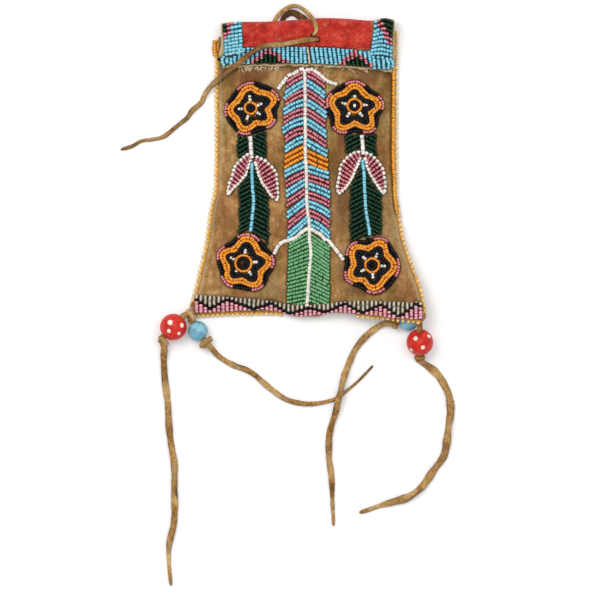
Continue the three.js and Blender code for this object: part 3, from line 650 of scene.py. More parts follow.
def knot(name, centre, way, wide, pale):
    way = unit(np.array(way, dtype=float))
    side = unit(np.cross(way, np.array([0.3, 0.2, 1.0])))
    up = np.cross(side, way)
    t = np.linspace(0, 1, KNOT_STEPS)
    turn = t * KNOT_TURNS * 2 * math.pi
    reach = KNOT_REACH * (0.75 + 0.35 * np.sin(math.pi * t))
    shift = (t - 0.5) * (KNOT_LENGTH - 2 * KNOT_TUBE) + KNOT_SWAY * np.sin(turn * 0.5)
    across = wide * reach * np.cos(turn)
    over = KNOT_FLAT * reach * np.sin(turn)
    line = np.array(centre) + shift[:, None] * way
    line = line + across[:, None] * side + over[:, None] * up
    half = KNOT_TUBE * (0.8 + 0.2 * np.sin(math.pi * t))
    rings = strip(line, half * 1.25, half * 0.8, turn * 0.2, 0)
    points, faces = tube(rings)
    out = points - np.array(centre)
    radial = np.linalg.norm(out - (out @ way)[:, None] * way, axis=1)
    # Painted shade: the windings darken towards the knot's core
    wear_and_painted_shade = KNOT_PAINTED_SHADE * smooth((1.9 - radial) / 1.3)
    bleached = np.full(len(points), pale)
    return mesh_object(name, points, faces, [THONG_LOOK], floats={"wear_and_painted_shade": wear_and_painted_shade, "bleached": bleached})


# Big glass beads: a turned ball with a bore, and inlaid spots
BALL_STEPS = 22
BALL_SIDES = 40
BORE = 1.75
# A spot's height over the ball and share of its radius, from its middle to its sunk rim
SPOT_PROFILE = ((0.1, 0.0), (0.09, 0.55), (0.05, 0.9), (-0.25, 1.0))
SPOT_RINGS = len(SPOT_PROFILE) - 1
SPOT_SIDES = 14


def around(way):
    way = unit(np.array(way, dtype=float))
    side = unit(np.cross(way, np.array([0.21, 0.37, 0.9])))
    return way, side, np.cross(way, side)


def ball(name, centre, way, diameter, look, spots):
    way, side, up = around(way)
    radius = diameter / 2
    bore_angle = math.asin(BORE / radius)
    polar = np.linspace(bore_angle, math.pi - bore_angle, BALL_STEPS)
    axial = radius * np.cos(polar)
    radial = radius * np.sin(polar)
    axial[[0, -1]] *= 0.985
    axial = np.concatenate([axial, [axial[-1] * 0.94, 0, axial[0] * 0.94]])
    radial = np.concatenate([radial, [BORE * 0.93, BORE * 0.9, BORE * 0.93]])
    turn = circle(BALL_SIDES)
    ring = np.cos(turn)[:, None] * side + np.sin(turn)[:, None] * up
    points = np.array(centre) + axial[:, None, None] * way + radial[:, None, None] * ring[None]
    faces = list(grid_faces(len(axial), BALL_SIDES, True, True))
    points = points.reshape(-1, 3)
    kinds = [0] * len(faces)
    spot_turn = circle(SPOT_SIDES)
    for *spot, spot_size in spots:
        out, across, over = around(spot)
        lathe = np.cos(spot_turn)[:, None] * across + np.sin(spot_turn)[:, None] * over
        base = len(points)
        rings = []
        for height, share in SPOT_PROFILE:
            angle = spot_size * share / radius
            towards = math.cos(angle) * out + math.sin(angle) * lathe
            rings.append(np.array(centre) + (radius + height) * towards)
        points = np.vstack([points, *rings[1:], rings[0][:1]])
        faces += list(grid_faces(SPOT_RINGS, SPOT_SIDES, round_columns=True)[:, ::-1] + base)
        for k in range(SPOT_SIDES):
            after = (k + 1) % SPOT_SIDES
            faces.append(np.array([base + k, base + after, base + SPOT_RINGS * SPOT_SIDES]))
        last = base + (SPOT_RINGS - 1) * SPOT_SIDES
        faces.append(last + np.arange(SPOT_SIDES)[::-1])
        kinds += [1] * (len(faces) - len(kinds))
    return mesh_object(name, points, faces, [look, SPOT_LOOK], kinds)


# Routes of the thongs and of the tie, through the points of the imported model
def onward(centre, way, at):
    return [tuple(np.array(centre) + np.array(way) * d) for d in at]


def on_table(spots, height):
    return [(x, y, height) for x, y in spots]


# Each big bead: its centre, the way of its bore and its diameter
BALLS = {
    "red_left": ((-68.25, -78.5, 6.7), (-0.7, -0.715, 0), 13.4),
    "blue_left": ((-56, -80.5, 5), (0.595, -0.803, 0), 10),
    "blue_right": ((49.2, -75.4, 5), (-0.985, -0.17, 0), 10),
    "red_right": ((54.85, -86.1, 6.7), (0, -0.872, -0.49), 13.4),
}
ROUTES = {
    "red_left": [(-57.6, -71.4, 5.9)] + onward(*BALLS["red_left"][:2], (-8.6, -4, 0, 4, 8.6)) + [
        (-72.9, -88.2, 4.4), (-73.15, -94.85, 2.4),
    ] + on_table([
        (-72.8, -101.45), (-72.4, -106.45), (-71.65, -112), (-70.95, -119), (-70.7, -125.35), (-70, -133),
        (-69, -140), (-67.9, -146.35), (-67.7, -152.7), (-67.85, -158.3), (-67.7, -165.3), (-67.7, -171.6),
        (-68.25, -177.95), (-69.5, -182.85), (-70.35, -187.05), (-70.65, -191.95), (-70.5, -197.55),
        (-70, -202.5), (-69.45, -207.75),
    ], TABLE),
    "blue_left": [(-60.8, -73.4, 5.3)] + onward(*BALLS["blue_left"][:2], (-6.2, -3, 0, 3.5, 7)) + [
        (-49.35, -88.9, 3.4), (-46, -92.75, 2),
    ] + on_table([
        (-41.9, -95.65), (-36.9, -98.15), (-31.95, -99.8), (-27.8, -102.3), (-23.65, -106), (-18.65, -110.15),
        (-13.7, -113.75), (-8.7, -115.8), (-2.1, -116.9), (4.55, -116.55), (11.2, -115), (14.5, -113.5),
        (18.65, -110.15), (23.6, -106), (27.75, -101.85), (31.5, -97.75),
    ], TABLE),
    "blue_right": [(54.4, -70.4, 9), (56.6, -72.2, 7.2)] + onward(
        *BALLS["blue_right"][:2], (-6.6, -3.5, 0, 3.5, 7.2),
    ) + [(39.8, -76.6, 3.6), (36.75, -77, 2.4), (32.65, -79.3, 1.6)] + on_table([
        (28.55, -82.6), (25, -86.45), (21.95, -91), (19.9, -95.6),
    ], TABLE) + [
        (17.85, -100.7, 1.7), (16.35, -105.8, 3.4), (15.3, -110.9, 4.85), (14.05, -115.5, 4.85),
        (13, -120.6, 3.4), (12.05, -123.55, 2.4),
    ] + on_table([
        (10.15, -129.9), (9.4, -135.55), (9.4, -140.65), (9.65, -145.7), (10.5, -151.35), (10.95, -157.05),
        (11.1, -162.75), (11.25, -168.45), (11.55, -173.5), (11.75, -177.9),
    ], TABLE),
    "red_right": onward(*BALLS["red_right"][:2], (-11.2, -6, -3, 0, 3, 6.6)) + [
        (54.7, -94.3, 2.4),
    ] + on_table([
        (56.1, -96.2), (58.65, -97.9), (62.25, -100.7), (65.3, -104.3), (67.85, -108.9), (69.4, -112.5),
        (70.15, -117), (70.25, -121.5), (69.25, -128), (68.65, -133.65), (68, -138.75), (66.75, -143.15),
        (64.2, -146.95), (61.35, -150.75), (58.85, -154.55), (56.3, -158), (53.15, -160.85), (48.75, -163.7),
        (44.3, -165.15), (39.25, -166.55), (34.2, -168.1), (29.75, -169.7), (24.7, -171.3),
    ], TABLE),
}
TAIL_ROUTE = [
    (4.3, 65, 9.4), (4.1, 65.05, 10.9), (3.2, 65.15, 11.7), (-2.45, 64.7, 12.2), (-10.1, 63.2, 13.6),
    (-17, 62.25, 13.75), (-23.1, 61.65, 13.75),
    (-27.7, 59.35, 13.6), (-32.3, 55.9, 12.8), (-36.9, 52.1, 11.7), (-41.5, 48.65, 8.4), (-45.3, 45.6, 5.9),
    (-49.15, 42.15, 4), (-52.2, 38.3, 2.3), (-54.1, 34.1, 1.4),
] + on_table([
    (-56.4, 31.8), (-59.1, 29.5), (-61.4, 26.05), (-65.2, 23), (-69.8, 19.2), (-73.6, 16.5), (-79, 15.2),
    (-84.35, 14.45), (-88.95, 11.9), (-94.65, 10.15),
], TIE_TABLE)
LOOP_ROUTE = [
    (1.4, 66.9, 9.5), (1.8, 67.4, 11.1), (2.6, 68.4, 11.8), (3.2, 70.05, 11.8), (2.4, 73.6, 10.9),
    (-0.1, 76.9, 7.9), (-2.8, 79.8, 5.7),
    (-5.3, 81.5, 4.6), (-8, 82, 4), (-10.5, 81.35, 3.5), (-13.15, 79.8, 2.9), (-15.45, 77.75, 2.2),
    (-17.1, 75.65, 1.5), (-17.9, 74.2, 1.4), (-18.2, 72.6, 1.4),
]
INNER_ROUTE = on_table([
    (-14.2, 72.8), (-13.8, 74.6), (-13.2, 76), (-12.55, 76.9), (-10.05, 78.55), (-7.55, 78.35), (-5.3, 76.9),
    (-3.2, 75.65), (-2.2, 74.4), (-1.8, 72.8),
], TIE_TABLE)

# Spots of the red beads, as directions from the centre and radii: those in view from above, then the others
SPOTS = {
    "red_left": [
        (-0.24, 0.35, 0.9, 1.5), (0.66, 0.13, 0.74, 1.35), (-0.33, -0.3, 0.9, 1.15),
        (0.43, -0.49, 0.76, 1.05), (-0.9, 0.1, -0.3, 1.2), (0.1, 0.95, -0.2, 1.2), (0.55, 0.5, -0.65, 1.2),
        (-0.6, 0.5, -0.6, 1.2), (-0.1, -0.55, -0.8, 1.2), (0.85, -0.3, -0.4, 1.2),
    ],
    "red_right": [
        (-0.34, 0.29, 0.9, 1.3), (0.68, 0.45, 0.58, 1.2), (0.23, -0.39, 0.9, 1.2), (-0.65, -0.58, 0.5, 1.15),
        (0.9, -0.35, -0.2, 1.2), (-0.9, 0.2, -0.3, 1.2), (0.3, 0.75, -0.6, 1.2), (-0.4, 0.3, -0.87, 1.2),
        (0.5, -0.6, -0.6, 1.2), (-0.3, -0.75, -0.6, 1.2),
    ],
}
KNOT_OFFSETS = {"red": 8.7, "blue": 7}
KNOT_WIDTHS = {"red_left": 1.1, "blue_left": 1.6, "blue_right": 1.1, "red_right": 0.85}
LEFT_KNOTS_BLEACHED = 0.25
RED_KNOT_SHIFT = np.array([1.2, -0.7, -0.4])
CORNER_KNOT = (-59.6, -72.9, 5.6)
CORNER_KNOT_WAY = (-0.8, -0.6, 0)
CORNER_STRAP = [(-58.6, -66.2, 2.6), (-59, -68.2, 3.6), (-59.4, -70.6, 4.8), (-59.5, -72.6, 5.4)]
# Each thong: width, length of the taper, roll, share of the width at the end, and flatness
THONG_LOOKS = {
    "red_left": (THONG * 1.1, 32, 0.7, 0.5, 0.7), "blue_left": (THONG * 0.94, 60, 0.8, 0.45, 0.7),
    "blue_right": (THONG * 1.06, 32, 0.8, 0.5, 0.66), "red_right": (THONG * 1.28, 22, 1.0, 0.5, 0.55),
}

for side, route in ROUTES.items():
    centre, way, diameter = BALLS[side]
    colour = side.split("_")[0]
    bead = ball(f"ball_{side}", centre, way, diameter, BALL_LOOKS[colour], SPOTS.get(side, []))
    settle(bead, "pouch", f"{colour}_glass", f"glass_bead_{side}")
    spot = np.array(onward(centre, way, [KNOT_OFFSETS[colour]])[0])
    if side == "red_left":
        spot = spot + RED_KNOT_SHIFT
    stop = knot(f"knot_{side}", spot, way, KNOT_WIDTHS[side], LEFT_KNOTS_BLEACHED * side.endswith("left"))
    settle(stop, "pouch", "thong_hide")
    carried = [bead, stop]
    if side == "red_left":
        corner = knot("knot_corner", CORNER_KNOT, CORNER_KNOT_WAY, 1.3, 0.6)
        settle(corner, "pouch", "thong_hide")
        strap = thong("thong_corner_strap", CORNER_STRAP, 2.1, 2, 0.2, 0.9, 0.5)[0]
        settle(strap, "pouch", "thong_hide")
        carried += [corner, strap]
    strand, line, length = thong(f"thong_{side}_strand", route, *THONG_LOOKS[side])
    settle(strand, "pouch", "thong_hide", f"thong_{side}")

tail, line, length = thong(
    "tie_tail_strand", TAIL_ROUTE, TIE * 1.06, 60, 0.5, 0.65, dark=0.3, start_share=0.4,
)
settle(tail, "flap", "thong_hide", "tie_tail")

loop, line, length = thong("tie_loop_strand", LOOP_ROUTE, TIE * 0.84, 2, 0.35, 0.9)
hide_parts("tie_loop")
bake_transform(loop)
# Painted shade: the loop's inner strand is darkened all over, as it lies in the loop's shadow
inner = thong("tie_inner_strand", INNER_ROUTE, TIE * 1.35, 2, 0.3, 0.9, 0.58, 0.9)[0]
settle(inner, "pouch", "thong_hide", "tie_loop_inner")


# Hide panels
EDGE_DROP = 0.55
EDGE_ROUND = 0.9
EDGE_WORN = 2.2
PANEL_SIZE = (90, 138)
FLAP_SIZE = (88, 27)
PANEL_COLUMNS = 150
PANEL_ROWS = 200
FOLD_ROWS = 18
FLAP_COLUMNS = 190
FLAP_ROWS = 90
# Darker, redder stains on the front, the two below the flap's lip a painted shadow, and one pale patch:
# place, half width, half height and depth
STAINS_AND_LIP_SHADOWS = [
    (12.5, -10, 4.5, 34, 0.5), (16.4, -18, 6, 16, 0.85), (16, 15, 4, 8, 0.75), (16, -51, 4, 8, 0.6),
    (23, -60.5, 8, 4, 0.8), (28, 45.5, 8, 4.5, 0.75), (-29, 46, 10, 4, 0.8),
]
PALE_PATCH = (-19, -58, 9, 8, 0.2)
RIGHT_RUDDY = 0.36
RIGHT_RUDDY_FROM = 26
# How far the sides are drawn in, left and right, at the upper corners and at the lip
DRAW_PARTS = 12
UPPER_DRAW = (1.3, 0.7)
LIP_DRAW = (1.9, 1.2)
# Where the flap is painted and where its sides are bare
RED_LEFT = -34.5
RED_RIGHT = 31.5
RED_FOOT = 59.5
RED_FADE = 1.2
BARE_LEFT = -41.5
BARE_RIGHT = 39.5


# Gentle wrinkles
def wrinkles(x, y, size):
    slow = np.sin(x / 17 + 1.3 * np.sin(y / 23)) * np.cos(y / 21 + 0.8 * np.sin(x / 13))
    quick = np.sin(x / 5.1 + 2 * np.sin(y / 9)) * np.sin(y / 6.3 + 1.4 * np.sin(x / 7))
    return size * (0.7 * slow + 0.3 * quick)


# How far the face falls where it rounds off at its edges, and how worn it is there
def edge_drop(u, v, width, height):
    nearest = np.minimum(np.minimum(u, 1 - u) * width, np.minimum(v, 1 - v) * height)
    return EDGE_DROP * np.clip(1 - nearest / EDGE_ROUND, 0, 1) ** 2, smooth(1 - nearest / EDGE_WORN)


def patch(x, y, middle_x, middle_y, wide, tall, depth):
    return depth * np.exp(-((x - middle_x) / wide) ** 2 - ((y - middle_y) / tall) ** 2)


# A pull inwards within one part of the width at either side
def side_draw(u, left, right):
    return left * smooth(1 - u * DRAW_PARTS) - right * smooth(u * DRAW_PARTS - (DRAW_PARTS - 1))


# The upper corners are drawn in a little
def drawn_in(u, y):
    return side_draw(u, *UPPER_DRAW) * smooth((y - WANDER_FROM) / 6)


# Where the red paint lies across the flap
def red_span(x):
    return smooth((x - RED_LEFT) / RED_FADE) * smooth((RED_RIGHT - x) / RED_FADE)


u, v = np.meshgrid(np.linspace(0, 1, PANEL_COLUMNS), np.linspace(0, 1, PANEL_ROWS))
panel_y = mix(hem_y(u), MOUTH_Y, v)
panel_x = mix(left_x(panel_y), right_x(panel_y), u)
drop, rim = edge_drop(u, v, *PANEL_SIZE)
front_z = front_top(panel_x, panel_y) + wrinkles(panel_x, panel_y, 0.18) - drop
ruddy = RIGHT_RUDDY * smooth((panel_x - RIGHT_RUDDY_FROM) / 10)
# The stains and the painted shadows below the lip go into the ruddy colour
for stain in STAINS_AND_LIP_SHADOWS:
    ruddy = np.maximum(ruddy, patch(panel_x, panel_y, *stain))
front_worn = np.maximum(0.5 * rim, patch(panel_x, panel_y, *PALE_PATCH))
front = shell(
    "front_hide", together(panel_x, panel_y, front_z),
    together(panel_x, panel_y, front_top(panel_x, panel_y) - HIDE + drop * 0.4),
    {"wear_and_painted_shade": front_worn, "ruddy": ruddy},
)
settle(front, "pouch", "hide", "front_panel")

back_y = mix(hem_y(u), FOLD_Y, v)
back_x = mix(left_x(np.minimum(back_y, MOUTH_Y)), right_x(np.minimum(back_y, MOUTH_Y)), u)
back_x = back_x + drawn_in(u, back_y)
back_low = lift(back_x, back_y)
back = shell(
    "back_hide", together(back_x, back_y, back_low + HIDE - drop * 0.4),
    together(back_x, back_y, back_low + drop * 0.4 + 0.02), {"wear_and_painted_shade": 0.25 * rim},
)
settle(back, "pouch", "hide", "back_panel")

# The fold's lower half, from the back panel's mouth round to the flap
u, v = np.meshgrid(np.linspace(0, 1, PANEL_COLUMNS), np.linspace(-0.06, 1.05, FOLD_ROWS))
turn = -math.pi / 2 + v * math.pi / 2
mouth_x = mix(left_x(MOUTH_Y), right_x(MOUTH_Y), u)
fold_x = mix(mouth_x, mix(FLAP_LEFT_X, FLAP_RIGHT_X, u), np.clip(v, 0, 1))
fold_x = fold_x + drawn_in(u, MOUTH_Y)


def fold_face(radius):
    round_y = FOLD_Y + radius * np.cos(turn) + fold_wander(fold_x, MOUTH_Y + 10) * smooth(v)
    return together(fold_x, round_y, FOLD_RADIUS + radius * np.sin(turn))


fold = shell(
    "fold_hide", fold_face(FOLD_RADIUS - HIDE + 0.05), fold_face(FOLD_RADIUS - 0.05),
    {"paint": (0 * u, 0.85 * smooth((v - 0.3) / 0.5) * red_span(fold_x))},
)
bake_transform(fold)

# Flap: red over the middle, bare hide at the sides and along the unevenly cut lip
u, v = np.meshgrid(np.linspace(0, 1, FLAP_COLUMNS), np.linspace(0, 1, FLAP_ROWS))
flap_x = mix(FLAP_LEFT_X, FLAP_RIGHT_X, u)
lip = bowed(LIP_Y, u) - 0.3 + 0.3 * np.sin(flap_x / 2.3) + 0.25 * np.sin(flap_x / 0.9 + 1)
flap_y = mix(lip, FOLD_Y + QUARTER_FOLD, v)
flap_x = flap_x + smooth((59 - flap_y) / 7) * side_draw(u, *LIP_DRAW)
flap_x = flap_x + drawn_in(u, flap_y)
drop, rim = edge_drop(u, np.minimum(v, 0.5), *FLAP_SIZE)
flap_top = flap_spot(flap_x, flap_y)
flap_top[..., 2] += np.where(flap_y < FOLD_Y, wrinkles(flap_x * 1.4, flap_y * 1.4, 0.15) - drop, 0)
flap_low = flap_spot(flap_x, flap_y, -HIDE)
paint = red_span(flap_x) * smooth((flap_y - RED_FOOT) / 1.5)
bare = 0.75 * (smooth((flap_x - BARE_LEFT) / -2) + smooth((flap_x - BARE_RIGHT) / 2))
flap = shell(
    "flap_hide", flap_top, flap_low, {"wear_and_painted_shade": np.maximum(0.85 * rim, bare), "paint": (paint, 0 * paint)},
)
settle(flap, "flap", "red_hide", "flap")


# Seed beads, strung along lines on a surface
bead_spots = []


class Beadwork:
    def __init__(self, surface):
        self.surface = surface
        self.beads = []

    # One bead on the surface, with its hole along a way
    def bead(self, x, y, way, colour, radius=BEAD_RADIUS, length=BEAD_PITCH, rise=0.0):
        step = 0.1
        spots = self.surface(
            np.array([x, x + step, x, x + step * way[0]]), np.array([y, y, y + step, y + step * way[1]]),
        )
        normal = unit(np.cross(spots[1] - spots[0], spots[2] - spots[0]))
        axis = unit(unit(spots[3] - spots[0]) + rng.normal(0, BEAD_TILT, 3))
        normal = unit(normal - axis * np.dot(normal, axis))
        size = radius * (1 + rng.normal(0, SIZE_SPREAD))
        long = length * (LENGTH_SHARE + rng.normal(0, LENGTH_SPREAD))
        jog = rng.normal(0, BEAD_JOG, 2)
        centre = spots[0] + normal * (radius * SEAT + rise) + np.array([jog[0], jog[1], 0])
        self.beads.append((centre, axis, normal, size, long, colour))
        bead_spots.append(centre)

    # A row of beads along a line, in one colour or in colours by a bead's number, their count and its share
    def row(self, points, colours, pitch=BEAD_PITCH, radius=BEAD_RADIUS, closed=False, keep=None, rise=0.0):
        line = smooth_line(points, 0.25, closed)
        length = distances(line)[-1]
        count = max(1, round(length / pitch))
        shares = (np.arange(count) + 0.5) / count
        spots = resampled(line, shares * length)
        ways = unit(resampled(line, shares * length + 0.2) - resampled(line, shares * length - 0.2))
        for number, (spot, way) in enumerate(zip(spots, ways)):
            if keep and not keep(*spot):
                continue
            colour = colours if isinstance(colours, str) else colours(number, count, shares[number])
            self.bead(*spot, way, colour, radius, length / count, rise)

    # All beads as one mesh: a turned ring each, with a painted highlight on top and painted shade low on the
    # bead and in the gaps
    def finish(self, name, body, slot, *nodes):
        count = len(self.beads)
        rings = len(BEAD_PROFILE)
        lengthwise, outwards = BEAD_PROFILE.T
        *columns, names = zip(*self.beads)
        centre, axis, normal, size, long = map(np.array, columns)
        side = np.cross(axis, normal)
        along = lengthwise[None] * long[:, None]
        out = outwards[None] * size[:, None]
        cosines = np.cos(BEAD_TURNS)[None, :, None]
        sines = np.sin(BEAD_TURNS)[None, :, None]
        round_about = cosines * normal[:, None, :] + sines * side[:, None, :]
        points = (
            centre[:, None, None, :] + along[:, :, None, None] * axis[:, None, None, :]
            + out[:, :, None, None] * round_about[:, None, :, :]
        )
        faces = grid_faces(rings, BEAD_SIDES, True, True)
        starts = np.arange(count) * rings * BEAD_SIDES
        every = (faces[None] + starts[:, None, None]).reshape(-1, 4)
        lit, deep, glass, begin = map(np.array, zip(*(BEADS[colour] for colour in names)))
        kinds = np.repeat(glass, len(faces))
        lit = lit * (1 + rng.normal(0, TONE_SPREAD, (count, 1)) + rng.normal(0, TINT_SPREAD, (count, 3)))
        # Painted light: each bead's colour goes from its painted shade colour low on its sides to its lit
        # colour on top, and darkens at its ends
        height = outwards[:, None] * np.cos(BEAD_TURNS)[None, :]
        share = smooth((height[None] - begin[:, None, None]) / LIT_SPAN)
        ends = smooth((outwards - 0.8) / 0.16)[None, :]
        least = np.array([END_LIT.get(colour, OTHER_END_LIT) for colour in names])[:, None]
        share = share * np.maximum(ends, least)[:, :, None]
        tone_with_painted_light = mix(deep[:, None, None, :], lit[:, None, None, :], share[..., None])
        thing = mesh_object(
            name, points.reshape(-1, 3), every, SEED_LOOKS, kinds, colours=np.clip(tone_with_painted_light, 0, 1).reshape(-1, 3),
        )
        settle(thing, body, slot, *nodes)


# Flap: two side lanes in rows, with a stepped upper corner, and short columns round the lower corner
LETTERS = {"G": "forest", "P": "pink", "B": "blue"}
LEFT_LETTERS = ["GPPBB", "GPBBB", "PPBBB", "PBBBB"] + ["BBBBB"] * 5
RIGHT_LETTERS = ["BPGGGG", "BPPGGG", "BBPPGG", "BBBPPG", "BBBBPP", "BBBBBP"] + ["BBBBBB"] * 3
LEFT_LANE_TOP = 72.8
LEFT_LANE_X = -43.5
LEFT_ROW_PITCH = 1.86
LEFT_BEAD_PITCH = 1.82
LEFT_COLUMN_PITCH = 1.45
RIGHT_LANE_TOP = LEFT_LANE_TOP + 0.4
RIGHT_LANE_X = (32.2, 41.6)
RIGHT_ROW_PITCH = 1.9
RIGHT_BEAD_PITCH = 1.55
RIGHT_COLUMN_PITCH = 1.4
LONE_BEAD = (-45, 55.5)
LEFT_COLUMNS = [
    [(-42.5, 57.4), (-43.2, 55.6), (-43.2, 53.9), (-42.3, 52.2)],
    [(-40.6, 56.6), (-41.2, 54.9), (-40.6, 53)], [(-39, 56.4), (-39.2, 54.6), (-38.8, 52.9)],
    [(-37.2, 57.2), (-37.3, 55.2), (-36.9, 53)],
]
RIGHT_COLUMNS = [
    [(31.5, 57), (31.7, 53.7), (31.9, 50.4)], [(33.6, 57), (34, 53.5), (34.2, 50.2)],
    [(35.7, 56.9), (36.4, 53.4), (36.4, 50)], [(37.7, 56.6), (38.9, 53.2), (38.4, 50.3)],
    [(39.3, 56), (40.9, 54), (40.6, 51.4)],
]


def lettered(letters):
    return lambda number, count, share: LETTERS[letters[min(number, len(letters) - 1)]]


work = Beadwork(flap_spot)
for row, letters in enumerate(LEFT_LETTERS):
    y = LEFT_LANE_TOP - row * LEFT_ROW_PITCH
    start = LEFT_LANE_X + 0.14 * row
    end = start + len(letters) * LEFT_BEAD_PITCH
    work.row([(start, y), (end, y + 1.3)], lettered(letters), LEFT_BEAD_PITCH)
for column in LEFT_COLUMNS:
    work.row(column, "blue", LEFT_COLUMN_PITCH)
work.bead(*LONE_BEAD, (0, 1), "navy")
work.finish("flap_left_rows", "flap", "light_blue_beads", "flap_left_beads")

work = Beadwork(flap_spot)
for row, letters in enumerate(RIGHT_LETTERS):
    y = RIGHT_LANE_TOP - row * RIGHT_ROW_PITCH
    start = RIGHT_LANE_X[0] - 0.28 * row
    end = RIGHT_LANE_X[1] - 0.12 * row
    points = [(start, y), ((start + end) / 2, y + 0.5), (end, y - 0.6)]
    work.row(points, lettered(letters), RIGHT_BEAD_PITCH)
for column in RIGHT_COLUMNS:
    work.row(column, "blue", RIGHT_COLUMN_PITCH)
work.finish("flap_right_rows", "flap", "light_blue_beads", "flap_right_beads")

# Flap: the lower lane, in upright columns, with two stepped triangles and a pale divider
LANE_PITCH = 2.18
LANE_HEIGHT = 8.2
LANE_FOOT = 1.05
LANE_LEAN = (0.15, 1.2)
LANE_X = (-35, 30.4)
LANE_BEAD_PITCH = 1.24
DIVIDER_X = -0.2
DIVIDER_BEAD = 0.6
# Each stepped triangle: its middle, half width and height
TRIANGLES = {"flap_left_triangle": (-20.4, 10, 7.8), "flap_right_triangle": (23.4, 9.6, 7.4)}
LEAST_RISE = 0.1
GREEN_BELOW = 2.4
PINK_ABOVE = 0.6


def lip_y(x):
    return bowed(LIP_Y, share_across(x, LIP_Y[0]))


# The higher triangle at a place, and how high it stands there
def triangle_at(x):
    rises = {}
    for name, (middle, half, height) in TRIANGLES.items():
        rises[name] = height * (1 - abs(x - middle) / half)
    highest = max(rises, key=rises.get)
    return highest, max(rises[highest], 0)


# The colours of a column: green in the triangle, pink along its slope, blue above
def lane_colour(rise):
    def colour(number, count, share):
        if share * LANE_HEIGHT < rise - GREEN_BELOW:
            return "forest"
        return "pink" if share * LANE_HEIGHT < rise + PINK_ABOVE and rise > LEAST_RISE else "blue"
    return colour


lanes = {name: Beadwork(flap_spot) for name in ("flap_lower_beads", *TRIANGLES)}
x = LANE_X[0]
while x < LANE_X[1]:
    foot = float(lip_y(x)) + LANE_FOOT
    triangle, rise = triangle_at(x)
    lane = lanes[triangle if rise > LEAST_RISE else "flap_lower_beads"]
    points = [(x, foot), (x - mix(*LANE_LEAN, smooth((x + 5) / 5)), foot + LANE_HEIGHT)]
    if abs(x - DIVIDER_X) < LANE_PITCH / 2:
        lane.row(points, "cream", LANE_BEAD_PITCH, DIVIDER_BEAD)
    else:
        lane.row(points, lane_colour(rise), LANE_BEAD_PITCH)
    x += LANE_PITCH
lanes["flap_lower_beads"].finish("flap_lower_rows", "flap", "light_blue_beads", "flap_lower_beads")
for name in TRIANGLES:
    lanes[name].finish(name + "_rows", "flap", "dark_green_beads", name)

# Hem band: upright columns of pink, one black bead, then clear pale beads
HEM_PITCH = 2.19
HEM_BEAD = 1.12
HEM_PINK_PITCH = 1.36
HEM_PALE_PITCH = 2.6
HEM_PALE_BEAD = 0.88
HEM_GAP = 0.6
HEM_LEAST = 0.9
HEM_START = -56.6
HEM_END = 55.6
HEM_FOOT = [
    (-57, -71.4), (-45, -70.6), (-30, -69.9), (-20, -69.8), (-12, -71.4), (-7.5, -72.9), (0, -72.8),
    (7.5, -71.9), (13, -71.2), (20.5, -71.6), (28, -72.2), (36, -73.1), (43.5, -74.1), (56, -74.6),
]
HEM_HEAD = [
    (-57, -62.2), (-30, -64), (-20, -65.2), (-10, -66.8), (0, -67.2), (13, -66.2), (20, -65.5), (28, -65.2),
    (36, -65.5), (43, -65.9), (56, -66.2),
]
HEM_ZIGZAG = [
    (-57, -64.8), (-49.7, -69.2), (-41.6, -64.6), (-28.2, -69.3), (-19.4, -66.4), (-9.9, -71.8),
    (-0.7, -68.9), (8, -71), (17.7, -66.9), (26.2, -71.4), (36, -67.3), (44.5, -73.4), (53, -67.3), (57, -69),
]
zigzag_at, zigzag_y = np.array(HEM_ZIGZAG).T
work = Beadwork(front_spot)
for x in np.arange(HEM_START, HEM_END, HEM_PITCH):
    foot = float(batten(HEM_FOOT, x))
    head = float(batten(HEM_HEAD, x))
    black = float(np.interp(x, zigzag_at, zigzag_y))
    if black - foot > HEM_LEAST:
        work.row([(x, foot), (x, black - HEM_GAP)], "rose", HEM_PINK_PITCH, HEM_BEAD)
    work.bead(x, black, (0, 1), "navy", HEM_BEAD)
    if head - black > HEM_LEAST:
        work.row([(x, black + HEM_GAP), (x + 0.1, head)], "pale", HEM_PALE_PITCH, HEM_PALE_BEAD)
work.finish("hem_rows", "pouch", "pink_beads", "hem_pink_beads", "hem_black_row", "hem_pale_beads")

# Flowers: hub, radius of the ring, and turn by turn the reach of the petal tips and of the valleys between
FLOWERS = {
    "upper_left": ((-29.6, 30.85), 2.9, [
        (94, 13.2), (146, 11.4), (185, 13), (220, 13.1), (253, 14), (291, 12.5), (326, 14.4), (356, 13.1),
        (380, 15.4), (421, 13.6),
    ]),
    "upper_right": ((22.15, 32), 3.4, [
        (88, 12.9), (130, 12.6), (167, 14.5), (206, 13.9), (236, 16), (271, 13.4), (307, 16), (334, 13.4),
        (363, 14.8), (404, 11.9),
    ]),
    "lower_left": ((-33.2, -46.6), 4, [
        (81, 15.4), (121, 12.6), (156, 14), (194, 12.5), (229, 13.9), (266, 13.1), (304, 15.4), (334, 14.2),
        (366, 15.8), (396, 14),
    ]),
    "lower_right": ((31.1, -47.8), 3.4, [
        (66, 14.8), (105, 13.1), (137, 15.5), (176, 13.6), (209, 15), (241, 12.9), (273, 14.5), (317, 13.7),
        (356, 14), (396, 13.3),
    ]),
}
FLOWER_STEPS = 80
# Rows inside the border: cuts at the tips and at the valleys, least reach beyond the ring, colour and bead
PETAL_ROWS = (
    (2.25, 3.7, 5.2, "orange", 1.02), (3.95, 5.4, 3.5, "orange", 1.02), (5.6, 7.1, 1.75, "navy", BEAD_RADIUS),
)
BORDER_CUTS = (0.75, 0.9)
VALLEY_CUTS = (2.4, 2.5)
STAR_CUTS = (7.3, 8.7)
BORDER_VALLEY = 19
INNER_VALLEY = 15
WHITES_BEYOND_RING = (1.35, 2.75)
WHITES_BELOW_TIP = 7.2
FARTHEST_PETAL = 18


